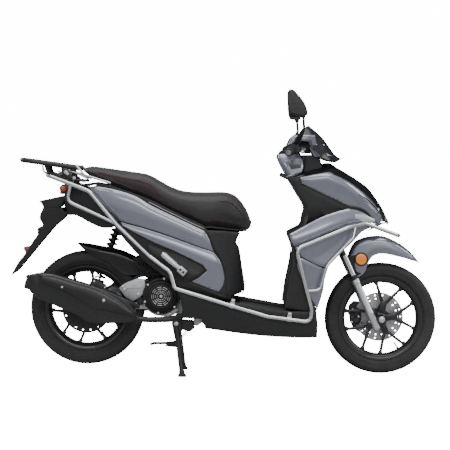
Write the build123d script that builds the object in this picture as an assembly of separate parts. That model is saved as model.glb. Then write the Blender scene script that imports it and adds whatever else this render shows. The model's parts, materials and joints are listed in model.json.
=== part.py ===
"""Moped scooter on its centre stand. Millimetres; +X forward, +Y left, +Z up.

The origin is on the ground, on the mid-plane, halfway along the overall length.
"""

import os
from math import atan2, cos, degrees, radians, sin

from build123d import *

# ---- Driving sizes ---------------------------------------------------------------
OVERALL_LENGTH = 1909.0
WHEELBASE = 1316.0
FRONT_TYRE_R = 250.0
REAR_TYRE_R = 256.0
FRONT_TYRE_WIDTH = 80.0
REAR_TYRE_WIDTH = 100.0
RIM_EDGE_R = 187.0
REAR_LIFT = 43.0
RAKE = 24.5
AXLE_LEAD = 35.5
BODY_HALF_WIDTH = 185.0
BAR_HALF_LENGTH = 345.0
GUARD_TUBE_R = 9.0

# ---- Walls, clearances and common sizes --------------------------------------------
PANEL_WALL = 3.0
RUN = 0.05
GAP = 1.0
FREE = 2.0

FRONT_AXLE = Vector(OVERALL_LENGTH / 2 - FRONT_TYRE_R, 0, FRONT_TYRE_R)
REAR_AXLE = Vector(FRONT_AXLE.X - WHEELBASE, 0, REAR_TYRE_R + REAR_LIFT)

# Steering axis: STEER_UP runs up the fork, STEER_AHEAD is square to it.
STEER_UP = Vector(-sin(radians(RAKE)), 0, cos(radians(RAKE)))
STEER_AHEAD = Vector(cos(radians(RAKE)), 0, sin(radians(RAKE)))
STEER_BASE = FRONT_AXLE - STEER_AHEAD * AXLE_LEAD

FORK_HALF_SPACING = 75.0
STANCHION_R = 13.0
SLIDER_R = 16.5
SLIDER_BOTTOM = -34.0
SLIDER_TOP = 216.0
SLIDER_BORE_BOTTOM = -18.0
STANCHION_BOTTOM = 78.0
YOKE_BOTTOM = 401.0
YOKE_HEIGHT = 30.0
YOKE_HALF_DEPTH = 24.0
STEM_R = 15.0
HEAD_TUBE_R = 27.0
HEAD_TUBE_BORE = 23.0
HEAD_TUBE_BOTTOM = 444.0
HEAD_TUBE_TOP = 656.0
HEAD_BEARING_HEIGHT = 16.0
CLAMP_TOP = 869.0

AXLE_R = 7.5
HUB_R = 30.0
DISC_R = 110.0
DISC_BORE = 55.0
DISC_WALL = 4.0
FRONT_DISC_Y = 50.0
REAR_DISC_Y = -56.0

BAR_R = 11.0
GRIP_R = 16.0
GRIP_INNER_Y = 212.0

CRANK = Vector(-277.0, 0, 358.0)
SWING_PIVOT = Vector(-84.0, 0, 250.0)
SHOCK_Y = 92.0
SHOCK_TOP = Vector(-468.0, SHOCK_Y, 697.0)
SHOCK_FOOT = Vector(-579.0, SHOCK_Y, 386.0)
STAND_PIVOT = Vector(-211.0, 0, 236.0)
STAND_FOOT = Vector(-184.0, 0, 7.0)
STAND_HALF_WIDTH = 100.0
SEAT_HINGE = Vector(98.0, 0, 648.0)
IGNITION = Vector(308.0, -42.0, 872.0)
IGNITION_RUN = Vector(-cos(radians(24)), 0, sin(radians(24)))
IGNITION_R = 10.0

FRAME_TUBE_R = 12.0
FLOOR_RAIL_Y = 95.0
REAR_RAIL_Y = 118.0
GUARD_Y = BODY_HALF_WIDTH + 21.0

# Half-widths (x, w) along the body: tail and seat, apron and nose, upper cowl.
REAR_PLAN = [(-730, 62), (-600, 108), (-465, 142), (-323, 154), (-80, 160), (20, 152), (110, 120)]
APRON_PLAN = [(250, 184), (360, 180), (440, 168), (510, 150), (570, 128), (640, 104), (715, 62)]
COWL_PLAN = [(270, 118), (450, 124), (540, 114), (610, 94), (670, 70), (712, 48)]
SEAT_PLAN = [(-640, 82), (-500, 104), (-329, 122), (-200, 142), (-20, 138), (70, 98), (130, 62)]


# ---- Small builders -----------------------------------------------------------------
def prism(points, y_low, y_high):
    """Solid with an XZ outline between two Y planes."""
    wire = Polyline(*[(x, y_low, z) for x, z in points], close=True)
    return extrude(make_face(wire), amount=y_high - y_low, dir=(0, 1, 0))


def wide(points, half_width):
    """Solid with an XZ outline, the same distance to both sides."""
    return prism(points, -half_width, half_width)


def rod(start, end, radius, bore=0.0):
    """Round bar or tube from one point to another."""
    run = Vector(*end) - Vector(*start)
    ring = Circle(radius) - Circle(bore) if bore else Circle(radius)
    return extrude(Plane(origin=start, z_dir=run) * ring, amount=run.length)


def cross_rod(centre, y_low, y_high, radius, bore=0.0):
    """Round bar or tube along Y."""
    return rod((centre.X, y_low, centre.Z), (centre.X, y_high, centre.Z), radius, bore)


def bent_tube(points, radius, bends):
    """Round tube along straight runs joined by arcs; one bend radius, or one for each corner."""
    path = FilletPolyline(*points, radius=bends)
    return sweep(Plane(origin=path @ 0, z_dir=path % 0) * Circle(radius), path=path)


def skin(outline, plan, wall=PANEL_WALL):
    """Pair of side panels: an XZ outline cut from the wall that follows the plan's half-widths."""
    sides = []
    for side in (-1, 1):
        outer = [(x, side * w) for x, w in plan]
        inner = [(x, side * (w - wall)) for x, w in reversed(plan)]
        strip = extrude(make_face(Polyline(*outer, *inner, close=True)), amount=OVERALL_LENGTH)
        sides.append(strip & wide(outline, BODY_HALF_WIDTH * 2))
    return sides


def strip(line, thickness, half_width):
    """Bent plate: an XZ line given a thickness towards +X and -Z, and a width."""
    shift = thickness * sin(radians(45))
    back = [(x + shift, z - shift) for x, z in reversed(line)]
    return wide(line + back, half_width)


def front_limit(profile):
    """Solid that limits the half-width by height: profile is a list of (half_width, z)."""
    points = [(-w, z) for w, z in profile] + [(w, z) for w, z in reversed(profile)]
    wire = Polyline(*[(-OVERALL_LENGTH, y, z) for y, z in points], close=True)
    return extrude(make_face(wire), amount=2 * OVERALL_LENGTH, dir=(1, 0, 0))


def plan_limit(plan, inset=0.0):
    """Solid that limits the half-width by length."""
    right = [(x, -(w - inset)) for x, w in plan]
    left = [(x, w - inset) for x, w in reversed(plan)]
    return extrude(make_face(Polyline(*right, *left, close=True)), amount=OVERALL_LENGTH)


def steer(along, ahead=0.0, y=0.0):
    """Point given along the steering axis, ahead of it and to the left."""
    return STEER_BASE + STEER_UP * along + STEER_AHEAD * ahead + Vector(0, y, 0)


def steer_plane(along, ahead=0.0, y=0.0):
    """Plane square to the steering axis: its x is ahead, its y is left."""
    return Plane(origin=steer(along, ahead, y), x_dir=STEER_AHEAD, z_dir=STEER_UP)


def at(centre):
    return Location((centre.X, centre.Y, centre.Z))


def turned(centre, points):
    """Ring turned about the Y line through the centre, from (radius, y) points."""
    return at(centre) * revolve(make_face(Polyline(*points, close=True)), Axis.Y)


def save(name, *solids):
    parts = [solid for item in solids for solid in (item if isinstance(item, list) else [item])]
    flat = [solid for part in parts for solid in part.solids()]
    export_step(Compound(children=[Solid(s.wrapped) for s in flat]), f"parts/{name}.step")


# ---- Wheels ----------------------------------------------------------------------------
RIM_HALF_WIDTH = {"front": 30.0, "rear": 36.0}
RIM_INNER_R = 163.0
BEAD_SEAT_R = 172.0
FLANGE_WALL = 3.0
BEAD_GAP = 0.3
KNUCKLE_R = 85.0
RING_R = 74.0
SPOKE_SPREAD = 22.0
SPOKES = 5
SPOKE_START = 75.4


def tyre(centre, outer_r, width, rim_half):
    wall = 9.0
    half = width / 2
    bead = rim_half - FLANGE_WALL - BEAD_GAP
    right = [(BEAD_SEAT_R + BEAD_GAP, -bead), (RIM_EDGE_R + 3, -bead), (RIM_EDGE_R + 10, -rim_half)]
    right += [(outer_r - 32, -half), (outer_r - 12, -half * 0.8)]
    crown = [(outer_r, -half * 0.2), (outer_r, half * 0.2)]
    left = [(r, -y) for r, y in reversed(right)]
    inside = [(BEAD_SEAT_R + BEAD_GAP, bead - wall), (outer_r - 40, half - wall)]
    inside += [(outer_r - 16, half * 0.4), (outer_r - 16, -half * 0.4)]
    inside += [(outer_r - 40, wall - half), (BEAD_SEAT_R + BEAD_GAP, wall - bead)]
    return turned(centre, [*right, *crown, *left, *inside])


def rim_barrel(rim_half):
    inside = rim_half - FLANGE_WALL
    points = [(RIM_EDGE_R, -rim_half), (RIM_EDGE_R, -inside), (BEAD_SEAT_R, -inside),
              (BEAD_SEAT_R, inside), (RIM_EDGE_R, inside), (RIM_EDGE_R, rim_half),
              (RIM_INNER_R, rim_half), (RIM_INNER_R, -rim_half)]
    return turned(Vector(0, 0, 0), points)


def spoke_bar(start, end, width, half_depth):
    """Flat bar between two (radius, degrees) places, in the wheel's own plane."""
    (r0, a0), (r1, a1) = start, end
    p0 = Vector(r0 * cos(radians(a0)), 0, r0 * sin(radians(a0)))
    p1 = Vector(r1 * cos(radians(a1)), 0, r1 * sin(radians(a1)))
    run = p1 - p0
    plane = Plane(origin=(p0 + p1) / 2, x_dir=run, z_dir=(0, 1, 0))
    return extrude(plane * Rectangle(run.length, width), amount=half_depth, both=True)


def rim(centre, rim_half, hub_low, hub_high):
    wheel = rim_barrel(rim_half)
    wheel += cross_rod(Vector(0, 0, 0), hub_low, hub_high, HUB_R)
    wheel += cross_rod(Vector(0, 0, 0), -6, 6, RING_R + 5, RING_R - 5)
    for index in range(SPOKES):
        angle = SPOKE_START + index * 360 / SPOKES
        wheel += spoke_bar((HUB_R - 4, angle), (KNUCKLE_R, angle), 26, 12)
        for spread in (-SPOKE_SPREAD, SPOKE_SPREAD):
            wheel += spoke_bar((KNUCKLE_R - 6, angle), (RIM_INNER_R + 3, angle + spread), 11, 9)
    wheel -= cross_rod(Vector(0, 0, 0), hub_low, hub_high, AXLE_R + RUN)
    return at(centre) * wheel


def brake_disc(centre, y):
    disc = cross_rod(Vector(0, 0, 0), y - DISC_WALL / 2, y + DISC_WALL / 2, DISC_R, DISC_BORE)
    hole_count = 18
    for index in range(hole_count):
        angle = radians(index * 360 / hole_count)
        for radius in (82, 98):
            spot = Vector(radius * cos(angle), 0, radius * sin(angle))
            disc -= cross_rod(spot, y - DISC_WALL, y + DISC_WALL, 3.5)
    carrier = cross_rod(Vector(0, 0, 0), y - DISC_WALL / 2, y + DISC_WALL / 2, DISC_BORE, HUB_R + GAP)
    return at(centre) * (disc + carrier)


def caliper(centre, disc_y, direction):
    """Block over the disc's edge, in the given direction (degrees) from the axle."""
    middle = DISC_R + 2
    spot = centre + Vector(cos(radians(direction)), 0, sin(radians(direction))) * middle
    plane = Plane(origin=(spot.X, disc_y, spot.Z), x_dir=spot - centre, z_dir=(0, 1, 0))
    block = extrude(plane * Rectangle(44, 76), amount=19, both=True)
    return block - cross_rod(Vector(centre.X, 0, centre.Z), disc_y - 3.5, disc_y + 3.5, DISC_R + 2)


def build_wheels():
    front_half, rear_half = RIM_HALF_WIDTH["front"], RIM_HALF_WIDTH["rear"]
    save("front_tyre", tyre(FRONT_AXLE, FRONT_TYRE_R, FRONT_TYRE_WIDTH, front_half))
    save("front_rim", rim(FRONT_AXLE, front_half, -45, FRONT_DISC_Y + 4))
    save("front_disc", brake_disc(FRONT_AXLE, FRONT_DISC_Y))
    save("rear_tyre", tyre(REAR_AXLE, REAR_TYRE_R, REAR_TYRE_WIDTH, rear_half))
    save("rear_rim", rim(REAR_AXLE, rear_half, REAR_DISC_Y - 4, 56))
    save("rear_disc", brake_disc(REAR_AXLE, REAR_DISC_Y))


# ---- Fork and steering --------------------------------------------------------------------
def slider(side):
    y = side * FORK_HALF_SPACING
    body = rod(steer(SLIDER_BOTTOM, 0, y), steer(SLIDER_TOP, 0, y), SLIDER_R)
    lug = [steer(SLIDER_BOTTOM, 0), steer(SLIDER_BOTTOM + 20, AXLE_LEAD + 14)]
    lug += [steer(30, AXLE_LEAD + 14), steer(72, 0)]
    body += prism([(p.X, p.Z) for p in lug], y - 8, y + 8)
    body -= rod(steer(SLIDER_BORE_BOTTOM, 0, y), steer(SLIDER_TOP, 0, y), STANCHION_R + RUN)
    return body - cross_rod(FRONT_AXLE, y - 20, y + 20, AXLE_R)


def front_axle():
    reach = FORK_HALF_SPACING + 14
    shaft = cross_rod(FRONT_AXLE, -reach, reach, AXLE_R)
    nuts = [cross_rod(FRONT_AXLE, side * reach, side * (FORK_HALF_SPACING + 8), 13, AXLE_R)
            for side in (-1, 1)]
    return [shaft + nuts[0] + nuts[1]]


def build_fork():
    save("fork_sliders", slider(-1), slider(1))
    save("front_axle", front_axle())
    block = caliper(FRONT_AXLE, FRONT_DISC_Y, 178)
    edge = -(SLIDER_R + GAP)
    foot = [steer(0, edge), steer(-4, edge - 40), steer(24, edge - 44), steer(30, edge)]
    foot_plate = prism([(p.X, p.Z) for p in foot], FRONT_DISC_Y + 8, FRONT_DISC_Y + 19)
    save("front_caliper", block + foot_plate)


def steering_stem():
    yoke_length = 2 * (FORK_HALF_SPACING + STANCHION_R + 7)
    yoke = extrude(steer_plane(YOKE_BOTTOM) * Rectangle(2 * YOKE_HALF_DEPTH, yoke_length),
                   amount=YOKE_HEIGHT)
    yoke += rod(steer(YOKE_BOTTOM), steer(CLAMP_TOP - 2 * BAR_R - 4), STEM_R)
    solids = [yoke]
    for side in (-1, 1):
        y = side * FORK_HALF_SPACING
        leg = rod(steer(STANCHION_BOTTOM, 0, y), steer(YOKE_BOTTOM, 0, y), STANCHION_R)
        solids.append(leg)
    for low in (HEAD_TUBE_BOTTOM, HEAD_TUBE_TOP - HEAD_BEARING_HEIGHT):
        ring = rod(steer(low), steer(low + HEAD_BEARING_HEIGHT), HEAD_TUBE_BORE - RUN, STEM_R)
        solids.append(ring)
    return solids


# The bar's right half, from the clamp outwards, as (x, distance from the middle, z).
BAR_Z = steer(CLAMP_TOP - BAR_R).Z
BAR_X = steer(CLAMP_TOP - BAR_R).X
BAR_LINE = [(BAR_X, 0, BAR_Z), (BAR_X, 62, BAR_Z), (BAR_X - 12, 150, BAR_Z - 3),
            (BAR_X - 41, BAR_HALF_LENGTH, BAR_Z - 25)]


def bar_point(side, distance):
    """Point on the bar's straight outer run, at a distance from the middle."""
    (x0, y0, z0), (x1, y1, z1) = BAR_LINE[2], BAR_LINE[3]
    share = (distance - y0) / (y1 - y0)
    return Vector(x0 + (x1 - x0) * share, side * distance, z0 + (z1 - z0) * share)


def handlebar():
    right = [(x, -y, z) for x, y, z in reversed(BAR_LINE)]
    left = BAR_LINE[1:]
    bar = bent_tube(right[:-1] + left, BAR_R, 30)
    clamp_low = CLAMP_TOP - 2 * BAR_R - 4
    clamp = rod(steer(clamp_low), steer(CLAMP_TOP + 4), 22)
    return bar + clamp


def sleeve(side, inner, outer, radius, bore):
    return rod(bar_point(side, inner), bar_point(side, outer), radius, bore)


def switch_housing(side):
    """Clamp-on switch block with its lever perch and mirror boss."""
    body = sleeve(side, 168, 208, 20, BAR_R)
    centre = bar_point(side, 176)
    perch = Pos(centre.X + 32, centre.Y, centre.Z - 4) * Box(44, 20, 22)
    boss = rod((centre.X + 20, centre.Y, centre.Z), (centre.X + 20, centre.Y, centre.Z + 26), 9)
    body = body + perch + boss - sleeve(side, 150, 230, BAR_R, 0)
    pin = lever_pivot(side)
    body -= Pos(pin.X + 6, pin.Y + side * 4, pin.Z) * Box(36, 40, 2 * LEVER_HALF_HEIGHT + 3)
    return body + rod((pin.X, pin.Y, pin.Z - 9), (pin.X, pin.Y, pin.Z + 9), LEVER_PIN_R)


LEVER_PIN_R = 3.0
LEVER_HALF_HEIGHT = 4.0


def lever_pivot(side):
    centre = bar_point(side, 176)
    return Vector(centre.X + 44, centre.Y, centre.Z - 4)


def brake_lever(side):
    """Two-finger brake lever: pivot eye, flat blade and ball end."""
    pin = lever_pivot(side)
    tip = bar_point(side, BAR_HALF_LENGTH - 12) + Vector(58, 0, 0)
    eye = rod((pin.X, pin.Y, pin.Z - LEVER_HALF_HEIGHT), (pin.X, pin.Y, pin.Z + LEVER_HALF_HEIGHT), 8)
    knee = (pin.X + 10, pin.Y + side * 34, pin.Z)
    blade = bent_tube([(pin.X, pin.Y, pin.Z), knee, (tip.X, tip.Y, tip.Z)], LEVER_HALF_HEIGHT, 14)
    lever = eye + blade + Pos(tip.X, tip.Y, tip.Z) * Sphere(7.5)
    return lever - rod((pin.X, pin.Y, pin.Z - 9), (pin.X, pin.Y, pin.Z + 9), LEVER_PIN_R + RUN)


def button_seat(side):
    """Point on the bar behind which the thumb button sits."""
    return bar_point(side, 190)


BUTTON_R = 5.0
BUTTON_TRAVEL = 3.0


def thumb_button(side, height):
    seat = button_seat(side)
    start = (seat.X - 15, seat.Y, seat.Z + height)
    return rod(start, (seat.X - 26, seat.Y, seat.Z + height), BUTTON_R)


def button_hole(side, height):
    seat = button_seat(side)
    return rod((seat.X - 15 + BUTTON_TRAVEL + 1, seat.Y, seat.Z + height),
               (seat.X - 40, seat.Y, seat.Z + height), BUTTON_R + RUN)


def mirror_pivot(side):
    centre = bar_point(side, 176)
    return Vector(centre.X + 20, centre.Y, centre.Z + 26)


def mirror(side):
    base = mirror_pivot(side) + Vector(0, 0, 0.5)
    top = Vector(base.X - 12, side * 262, 1140)
    stalk = bent_tube([(base.X, base.Y, base.Z), (base.X, base.Y, base.Z + 30),
                       (top.X, top.Y, top.Z), (top.X - 6, top.Y + side * 12, top.Z + 30)], 5, 14)
    boot = rod(base, base + Vector(0, 0, 26), 9)
    shell = prism([(279, 1156), (352, 1148), (360, 1162), (342, 1214), (302, 1256), (290, 1260),
                   (275, 1250), (273, 1200)], min(side * 230, side * 350), max(side * 230, side * 350))
    shell &= front_limit_mirror(side)
    return stalk + boot + shell


def front_limit_mirror(side):
    """Rounded front view of a mirror head."""
    corners = [(226, 1165), (245, 1150), (330, 1148), (354, 1172), (350, 1240), (325, 1262),
               (262, 1258), (232, 1232)]
    wire = Polyline(*[(0, side * y, z) for y, z in corners], close=True)
    return extrude(make_face(wire), amount=OVERALL_LENGTH / 4, dir=(1, 0, 0))


POD_HALF_WIDTH = 112.0
POD_OUTLINE = [(284, 1034), (312, 1070), (406, 1071), (412, 1040), (478, 984), (470, 974),
               (410, 972), (392, 1000), (345, 1048), (300, 1040)]


def handlebar_cover():
    """Instrument pod: a hollow shell round the bar with a neck over the clamp."""
    outer = [(284, 1038), (312, 1070), (406, 1071), (478, 984), (470, 974), (404, 974), (350, 985),
             (300, 1000)]
    inner = [(292, 1038), (315, 1066), (404, 1067), (466, 984), (462, 979), (404, 960), (350, 960),
             (305, 960)]
    shell = wide(outer, POD_HALF_WIDTH) - wide(inner, POD_HALF_WIDTH - PANEL_WALL)
    shell -= prism([(290, 985), (290, 1042), (345, 1042), (345, 985)], -200, 200)
    return shell


def windscreen():
    line = [(383, 1115), (449, 1054), (497, 988), (527, 968)]
    back = [(524, 965), (494, 984), (445, 1051), (384, 1109)]
    sheet = wide(line + back, 96)
    taper = extrude(make_face(Polyline(
        (370, -52), (450, -88), (500, -96), (528, -60), (528, 60), (500, 96), (450, 88), (370, 52),
        close=True)), amount=OVERALL_LENGTH)
    mounts = [prism([(407, 1071), (412, 1071), (440, 1053), (430, 1053)], y - 6, y + 6)
              for y in (-40, 40)]
    return [(sheet & taper)] + mounts


FENDER_HALF_WIDTH = 52.0


def front_fender():
    outer = [(552, 540), (588, 596), (650, 616), (716, 620), (784, 587), (842, 544), (882, 497)]
    inner = [(868, 500), (830, 534), (776, 574), (714, 610), (654, 606), (600, 588), (565, 538)]
    crown = wide(outer + inner, FENDER_HALF_WIDTH)
    side_line = [(552, 540), (588, 596), (650, 616), (716, 620), (784, 587), (842, 544), (882, 497),
                 (782, 527), (705, 542), (662, 527), (642, 491), (632, 462), (606, 440), (584, 437)]
    for side in (-1, 1):
        inner_y, outer_y = side * FENDER_HALF_WIDTH, side * (FENDER_HALF_WIDTH + PANEL_WALL)
        crown += prism(side_line, min(inner_y, outer_y), max(inner_y, outer_y))
    yoke_space = extrude(steer_plane(YOKE_BOTTOM - GAP) * Rectangle(2 * YOKE_HALF_DEPTH + 4, 300),
                         amount=200)
    return crown - yoke_space


def fork_reflectors():
    solids = []
    for side in (-1, 1):
        y = side * (FENDER_HALF_WIDTH + PANEL_WALL)
        ring = cross_rod(Vector(640, 0, 545), min(y, y + side * 9), max(y, y + side * 9), 26)
        solids.append(ring)
    return solids


def build_steering():
    save("steering_stem", steering_stem())
    save("handlebar", handlebar())
    save("handlebar_cover", handlebar_cover())
    save("windscreen", windscreen())
    save("front_fender", front_fender(), fork_reflectors())
    right, left = switch_housing(-1), switch_housing(1)
    right -= button_hole(-1, 0)
    left -= button_hole(1, -7)
    left -= button_hole(1, 7)
    save("switch_housings", right, left)
    save("starter_button", thumb_button(-1, 0))
    save("horn_button", thumb_button(1, -7))
    save("signal_switch", thumb_button(1, 7))
    save("grip_left", sleeve(1, GRIP_INNER_Y, BAR_HALF_LENGTH - 4, GRIP_R, BAR_R))
    save("grip_right", sleeve(-1, GRIP_INNER_Y, BAR_HALF_LENGTH - 4, GRIP_R, BAR_R + RUN))
    save("brake_lever_left", brake_lever(1))
    save("brake_lever_right", brake_lever(-1))
    save("mirror_left", mirror(1))
    save("mirror_right", mirror(-1))


# ---- Frame --------------------------------------------------------------------------------
def main_frame():
    head = rod(steer(HEAD_TUBE_BOTTOM), steer(HEAD_TUBE_TOP), HEAD_TUBE_R)
    neck = steer(HEAD_TUBE_BOTTOM + 50)
    spine_r = 21.0
    spine = bent_tube([(neck.X, 0, neck.Z), (350, 0, 480), (330, 0, 300), (322, 0, 236)], spine_r,
                      [60, 60])
    frame = head + spine
    frame += rod((322, -FLOOR_RAIL_Y, 236), (322, FLOOR_RAIL_Y, 236), FRAME_TUBE_R)
    for side in (-1, 1):
        floor_y, rear_y = side * FLOOR_RAIL_Y, side * REAR_RAIL_Y
        rail = [(322, floor_y, 236), (60, floor_y, 226), (-30, rear_y, 240), (-40, rear_y, 470),
                (-250, rear_y, 640), (-640, side * TAIL_RAIL_Y, 796)]
        frame += bent_tube(rail, FRAME_TUBE_R, 40)
        ear_low, ear_high = sorted((side * 84, rear_y))
        frame += prism([(-30, 222), (-96, 236), (-96, 264), (-30, 290)], ear_low + 4, ear_high)
    frame += rod((-40, -REAR_RAIL_Y, 430), (-40, REAR_RAIL_Y, 430), FRAME_TUBE_R - 3)
    frame += rod((-640, -TAIL_RAIL_Y, 796), (-640, TAIL_RAIL_Y, 796), FRAME_TUBE_R)
    frame += rod((-300, -REAR_RAIL_Y + 8, 662), (-300, REAR_RAIL_Y - 8, 662), FRAME_TUBE_R - 3)
    frame += shock_bracket()
    frame += cross_rod(SWING_PIVOT, -REAR_RAIL_Y, REAR_RAIL_Y, SWING_PIN_R)
    for side in (-1, 1):
        frame += peg_bracket(side)
    return frame - rod(steer(HEAD_TUBE_BOTTOM - 5), steer(HEAD_TUBE_TOP + 5), HEAD_TUBE_BORE)


def shock_bracket():
    """Plate outboard of the shock's head, hung from the rear rail, with the head's bolt."""
    face_y = SHOCK_Y + SHOCK_HEAD_HALF + 0.5
    top = [(-490, 744), (-444, 726), (-448, 711), (-488, 711)]
    drop = [(-486, 716), (-450, 716), (-454, 688), (-482, 688)]
    plate = prism(top, face_y - 8, face_y + 6) + prism(drop, face_y, face_y + 6)
    return plate + cross_rod(SHOCK_TOP, SHOCK_Y - SHOCK_HEAD_HALF - 2, face_y + 6, SHOCK_BOLT_R)


SHOCK_BOLT_R = 5.0
SHOCK_HEAD_HALF = 14.0
SWING_PIN_R = 8.0
TAIL_RAIL_Y = 70.0
PEG_FOLDED = Vector(-0.755, 0, 0.656)
PEG_PIVOT = Vector(-176.0, 0, 470.0)
PEG_Y = 188.0


def peg_bracket(side):
    """Gusset from the rear rail, an arm out through the side cover and the peg's pin."""
    gusset = prism([(-54, 540), (-34, 480), (-166, 456), (-188, 474), (-120, 566)],
                   *sorted((side * (REAR_RAIL_Y - 6), side * REAR_RAIL_Y)))
    arm = cross_rod(PEG_PIVOT, *sorted((side * (REAR_RAIL_Y - 4), side * PEG_Y)), PEG_ARM_R)
    return gusset + arm + rod(peg_axis_point(side, -16), peg_axis_point(side, 16), PEG_PIN_R)


PEG_ARM_R = 4.5
PEG_PIN_R = 3.5


def peg_axis_point(side, distance):
    axis = Vector(0.656, 0, 0.755)
    return PEG_PIVOT + Vector(0, side * PEG_Y, 0) + axis * distance


def peg(side):
    """Folding footpeg, folded up along the body."""
    root = PEG_PIVOT + Vector(0, side * PEG_Y, 0)
    plane = Plane(origin=root + PEG_FOLDED * 68, x_dir=PEG_FOLDED, z_dir=(0, 1, 0))
    pad = extrude(plane * RectangleRounded(112, 26, 6), amount=9, both=True)
    for low in (-14, 6.5):
        pad += rod(peg_axis_point(side, low), peg_axis_point(side, low + 7.5), 9)
        arm = peg_axis_point(side, low + 3.75)
        pad += rod(arm, arm + PEG_FOLDED * 20, 3.7)
    return pad - rod(peg_axis_point(side, -30), peg_axis_point(side, 30), PEG_PIN_R + RUN)


# ---- Guards, rack and tail ------------------------------------------------------------------
def crash_bar(side):
    y = side * GUARD_Y
    line = [(-781, 0, 894), (-781, side * 128, 894), (-591, side * 154, 824),
            (-465, side * 166, 672), (-323, side * 176, 537), (-234, side * 198, 472),
            (-214, y, 400), (36, y, 323), (190, y, 277), (378, y, 252), (384, y, 310),
            (316, y, 572), (548, side * 172, 664), (628, side * 128, 680), (784, side * 40, 622),
            (784, 0, 622)]
    main = bent_tube(line, GUARD_TUBE_R, [40, 60, 60, 60, 40, 26, 60, 60, 26, 26, 34, 34, 40, 24])
    rear = bent_tube([(-672, side * 142, 854), (-688, side * 142, 780), (-480, side * 162, 684)],
                     GUARD_TUBE_R - 1, 28)
    loop = bent_tube([(580, side * 155, 668), (568, side * 168, 618), (452, side * 192, 498),
                      (420, side * 199, 392), (356, side * 205, 386)], GUARD_TUBE_R - 2,
                     [22, 50, 24])
    feet = [rod((x, y, z), (x, side * BODY_HALF_WIDTH, z), 7)
            for x, z in ((36, 318), (286, 266))]
    bar = main + rear + loop + feet[0] + feet[1]
    grab = bent_tube([(-652, side * 118, 938), (-614, side * 124, 894), (-495, side * 150, 858)], 5,
                     20)
    return [bar, grab]


def rack_plane(x):
    """Height of the rack's top bars at x."""
    slope = (926 - 962) / (-649 + 905)
    return 926 + (x + 649) * slope


def rear_rack():
    bar_r = 11.0
    half = 92.0
    line = [(-640, -half, rack_plane(-640)), (-899, -half, rack_plane(-899)),
            (-899, half, rack_plane(-899)), (-640, half, rack_plane(-640))]
    rack = bent_tube(line, bar_r, 45)
    for x in (-680, -760, -830):
        rack += rod((x, -half, rack_plane(x)), (x, half, rack_plane(x)), 6)
    for side in (-1, 1):
        stay_top = (-796, side * 60, rack_plane(-796))
        rack += rod(stay_top, (-782, side * 60, 894 + GUARD_TUBE_R + 0.4), 7)
        rack += rod((-680, side * 58, rack_plane(-680)), (-644, side * 58, 796 + FRAME_TUBE_R + 0.4), 7)
    plate_x = -755
    tilt = degrees(atan2(926 - 962, -649 + 905))
    seat = Pos(plate_x, 0, rack_plane(plate_x)) * Rot(0, -tilt, 0)
    rack += seat * Pos(0, 0, bar_r - 2) * Cylinder(78, 4)
    for index in range(RACK_HOLES):
        angle = radians(45 + index * 360 / RACK_HOLES)
        spot = Pos(RACK_PCD / 2 * cos(angle), RACK_PCD / 2 * sin(angle), bar_r - 2)
        rack -= seat * spot * Cylinder(RACK_HOLE_R, 8)
    return rack


RACK_HOLES = 4
RACK_PCD = 130.0
RACK_HOLE_R = 3.25


def build_tail():
    cover = skin([(-700, 838), (-600, 806), (-470, 700), (-492, 664), (-543, 664), (-650, 716),
                  (-690, 716), (-708, 780)], [(x, w - 6) for x, w in REAR_PLAN])
    back = prism([(-712, 780), (-704, 838), (-700, 838), (-708, 780)], -60, 60)
    under = wide([(-690, 716), (-650, 716), (-543, 664), (-492, 664), (-492, 661), (-543, 661),
                  (-650, 712), (-690, 712)], 60)
    save("tail_cover", cover + [back, under])
    lens = wide([(-714, 810), (-730, 812), (-724, 842), (-704, 844)], 56)
    signals = [rod((-694, side * 100, 838), (-716, side * 142, 832), 18) for side in (-1, 1)]
    save("rear_lights", lens, signals)
    rear_mudguard()


def rear_mudguard():
    plate = wide([(-823, 778), (-716, 803), (-716, 780), (-752, 735), (-770, 728), (-818, 722),
                  (-823, 728)], 58)
    tip_x = -OVERALL_LENGTH / 2
    blade = wide([(-770, 728), (-714, 708), (-808, 590), (tip_x + 36, 456), (tip_x, 446),
                  (tip_x + 20, 462), (-866, 578), (-816, 668)], 66)
    blade -= wide([(-764, 716), (-728, 703), (-812, 600), (-912, 478), (-860, 590), (-806, 672)], 62)
    reflector = prism([(-866, 578), (-896, 572), (-886, 540), (-882, 540)], -30, 30)
    save("rear_mudguard", plate + blade, reflector)


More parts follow.
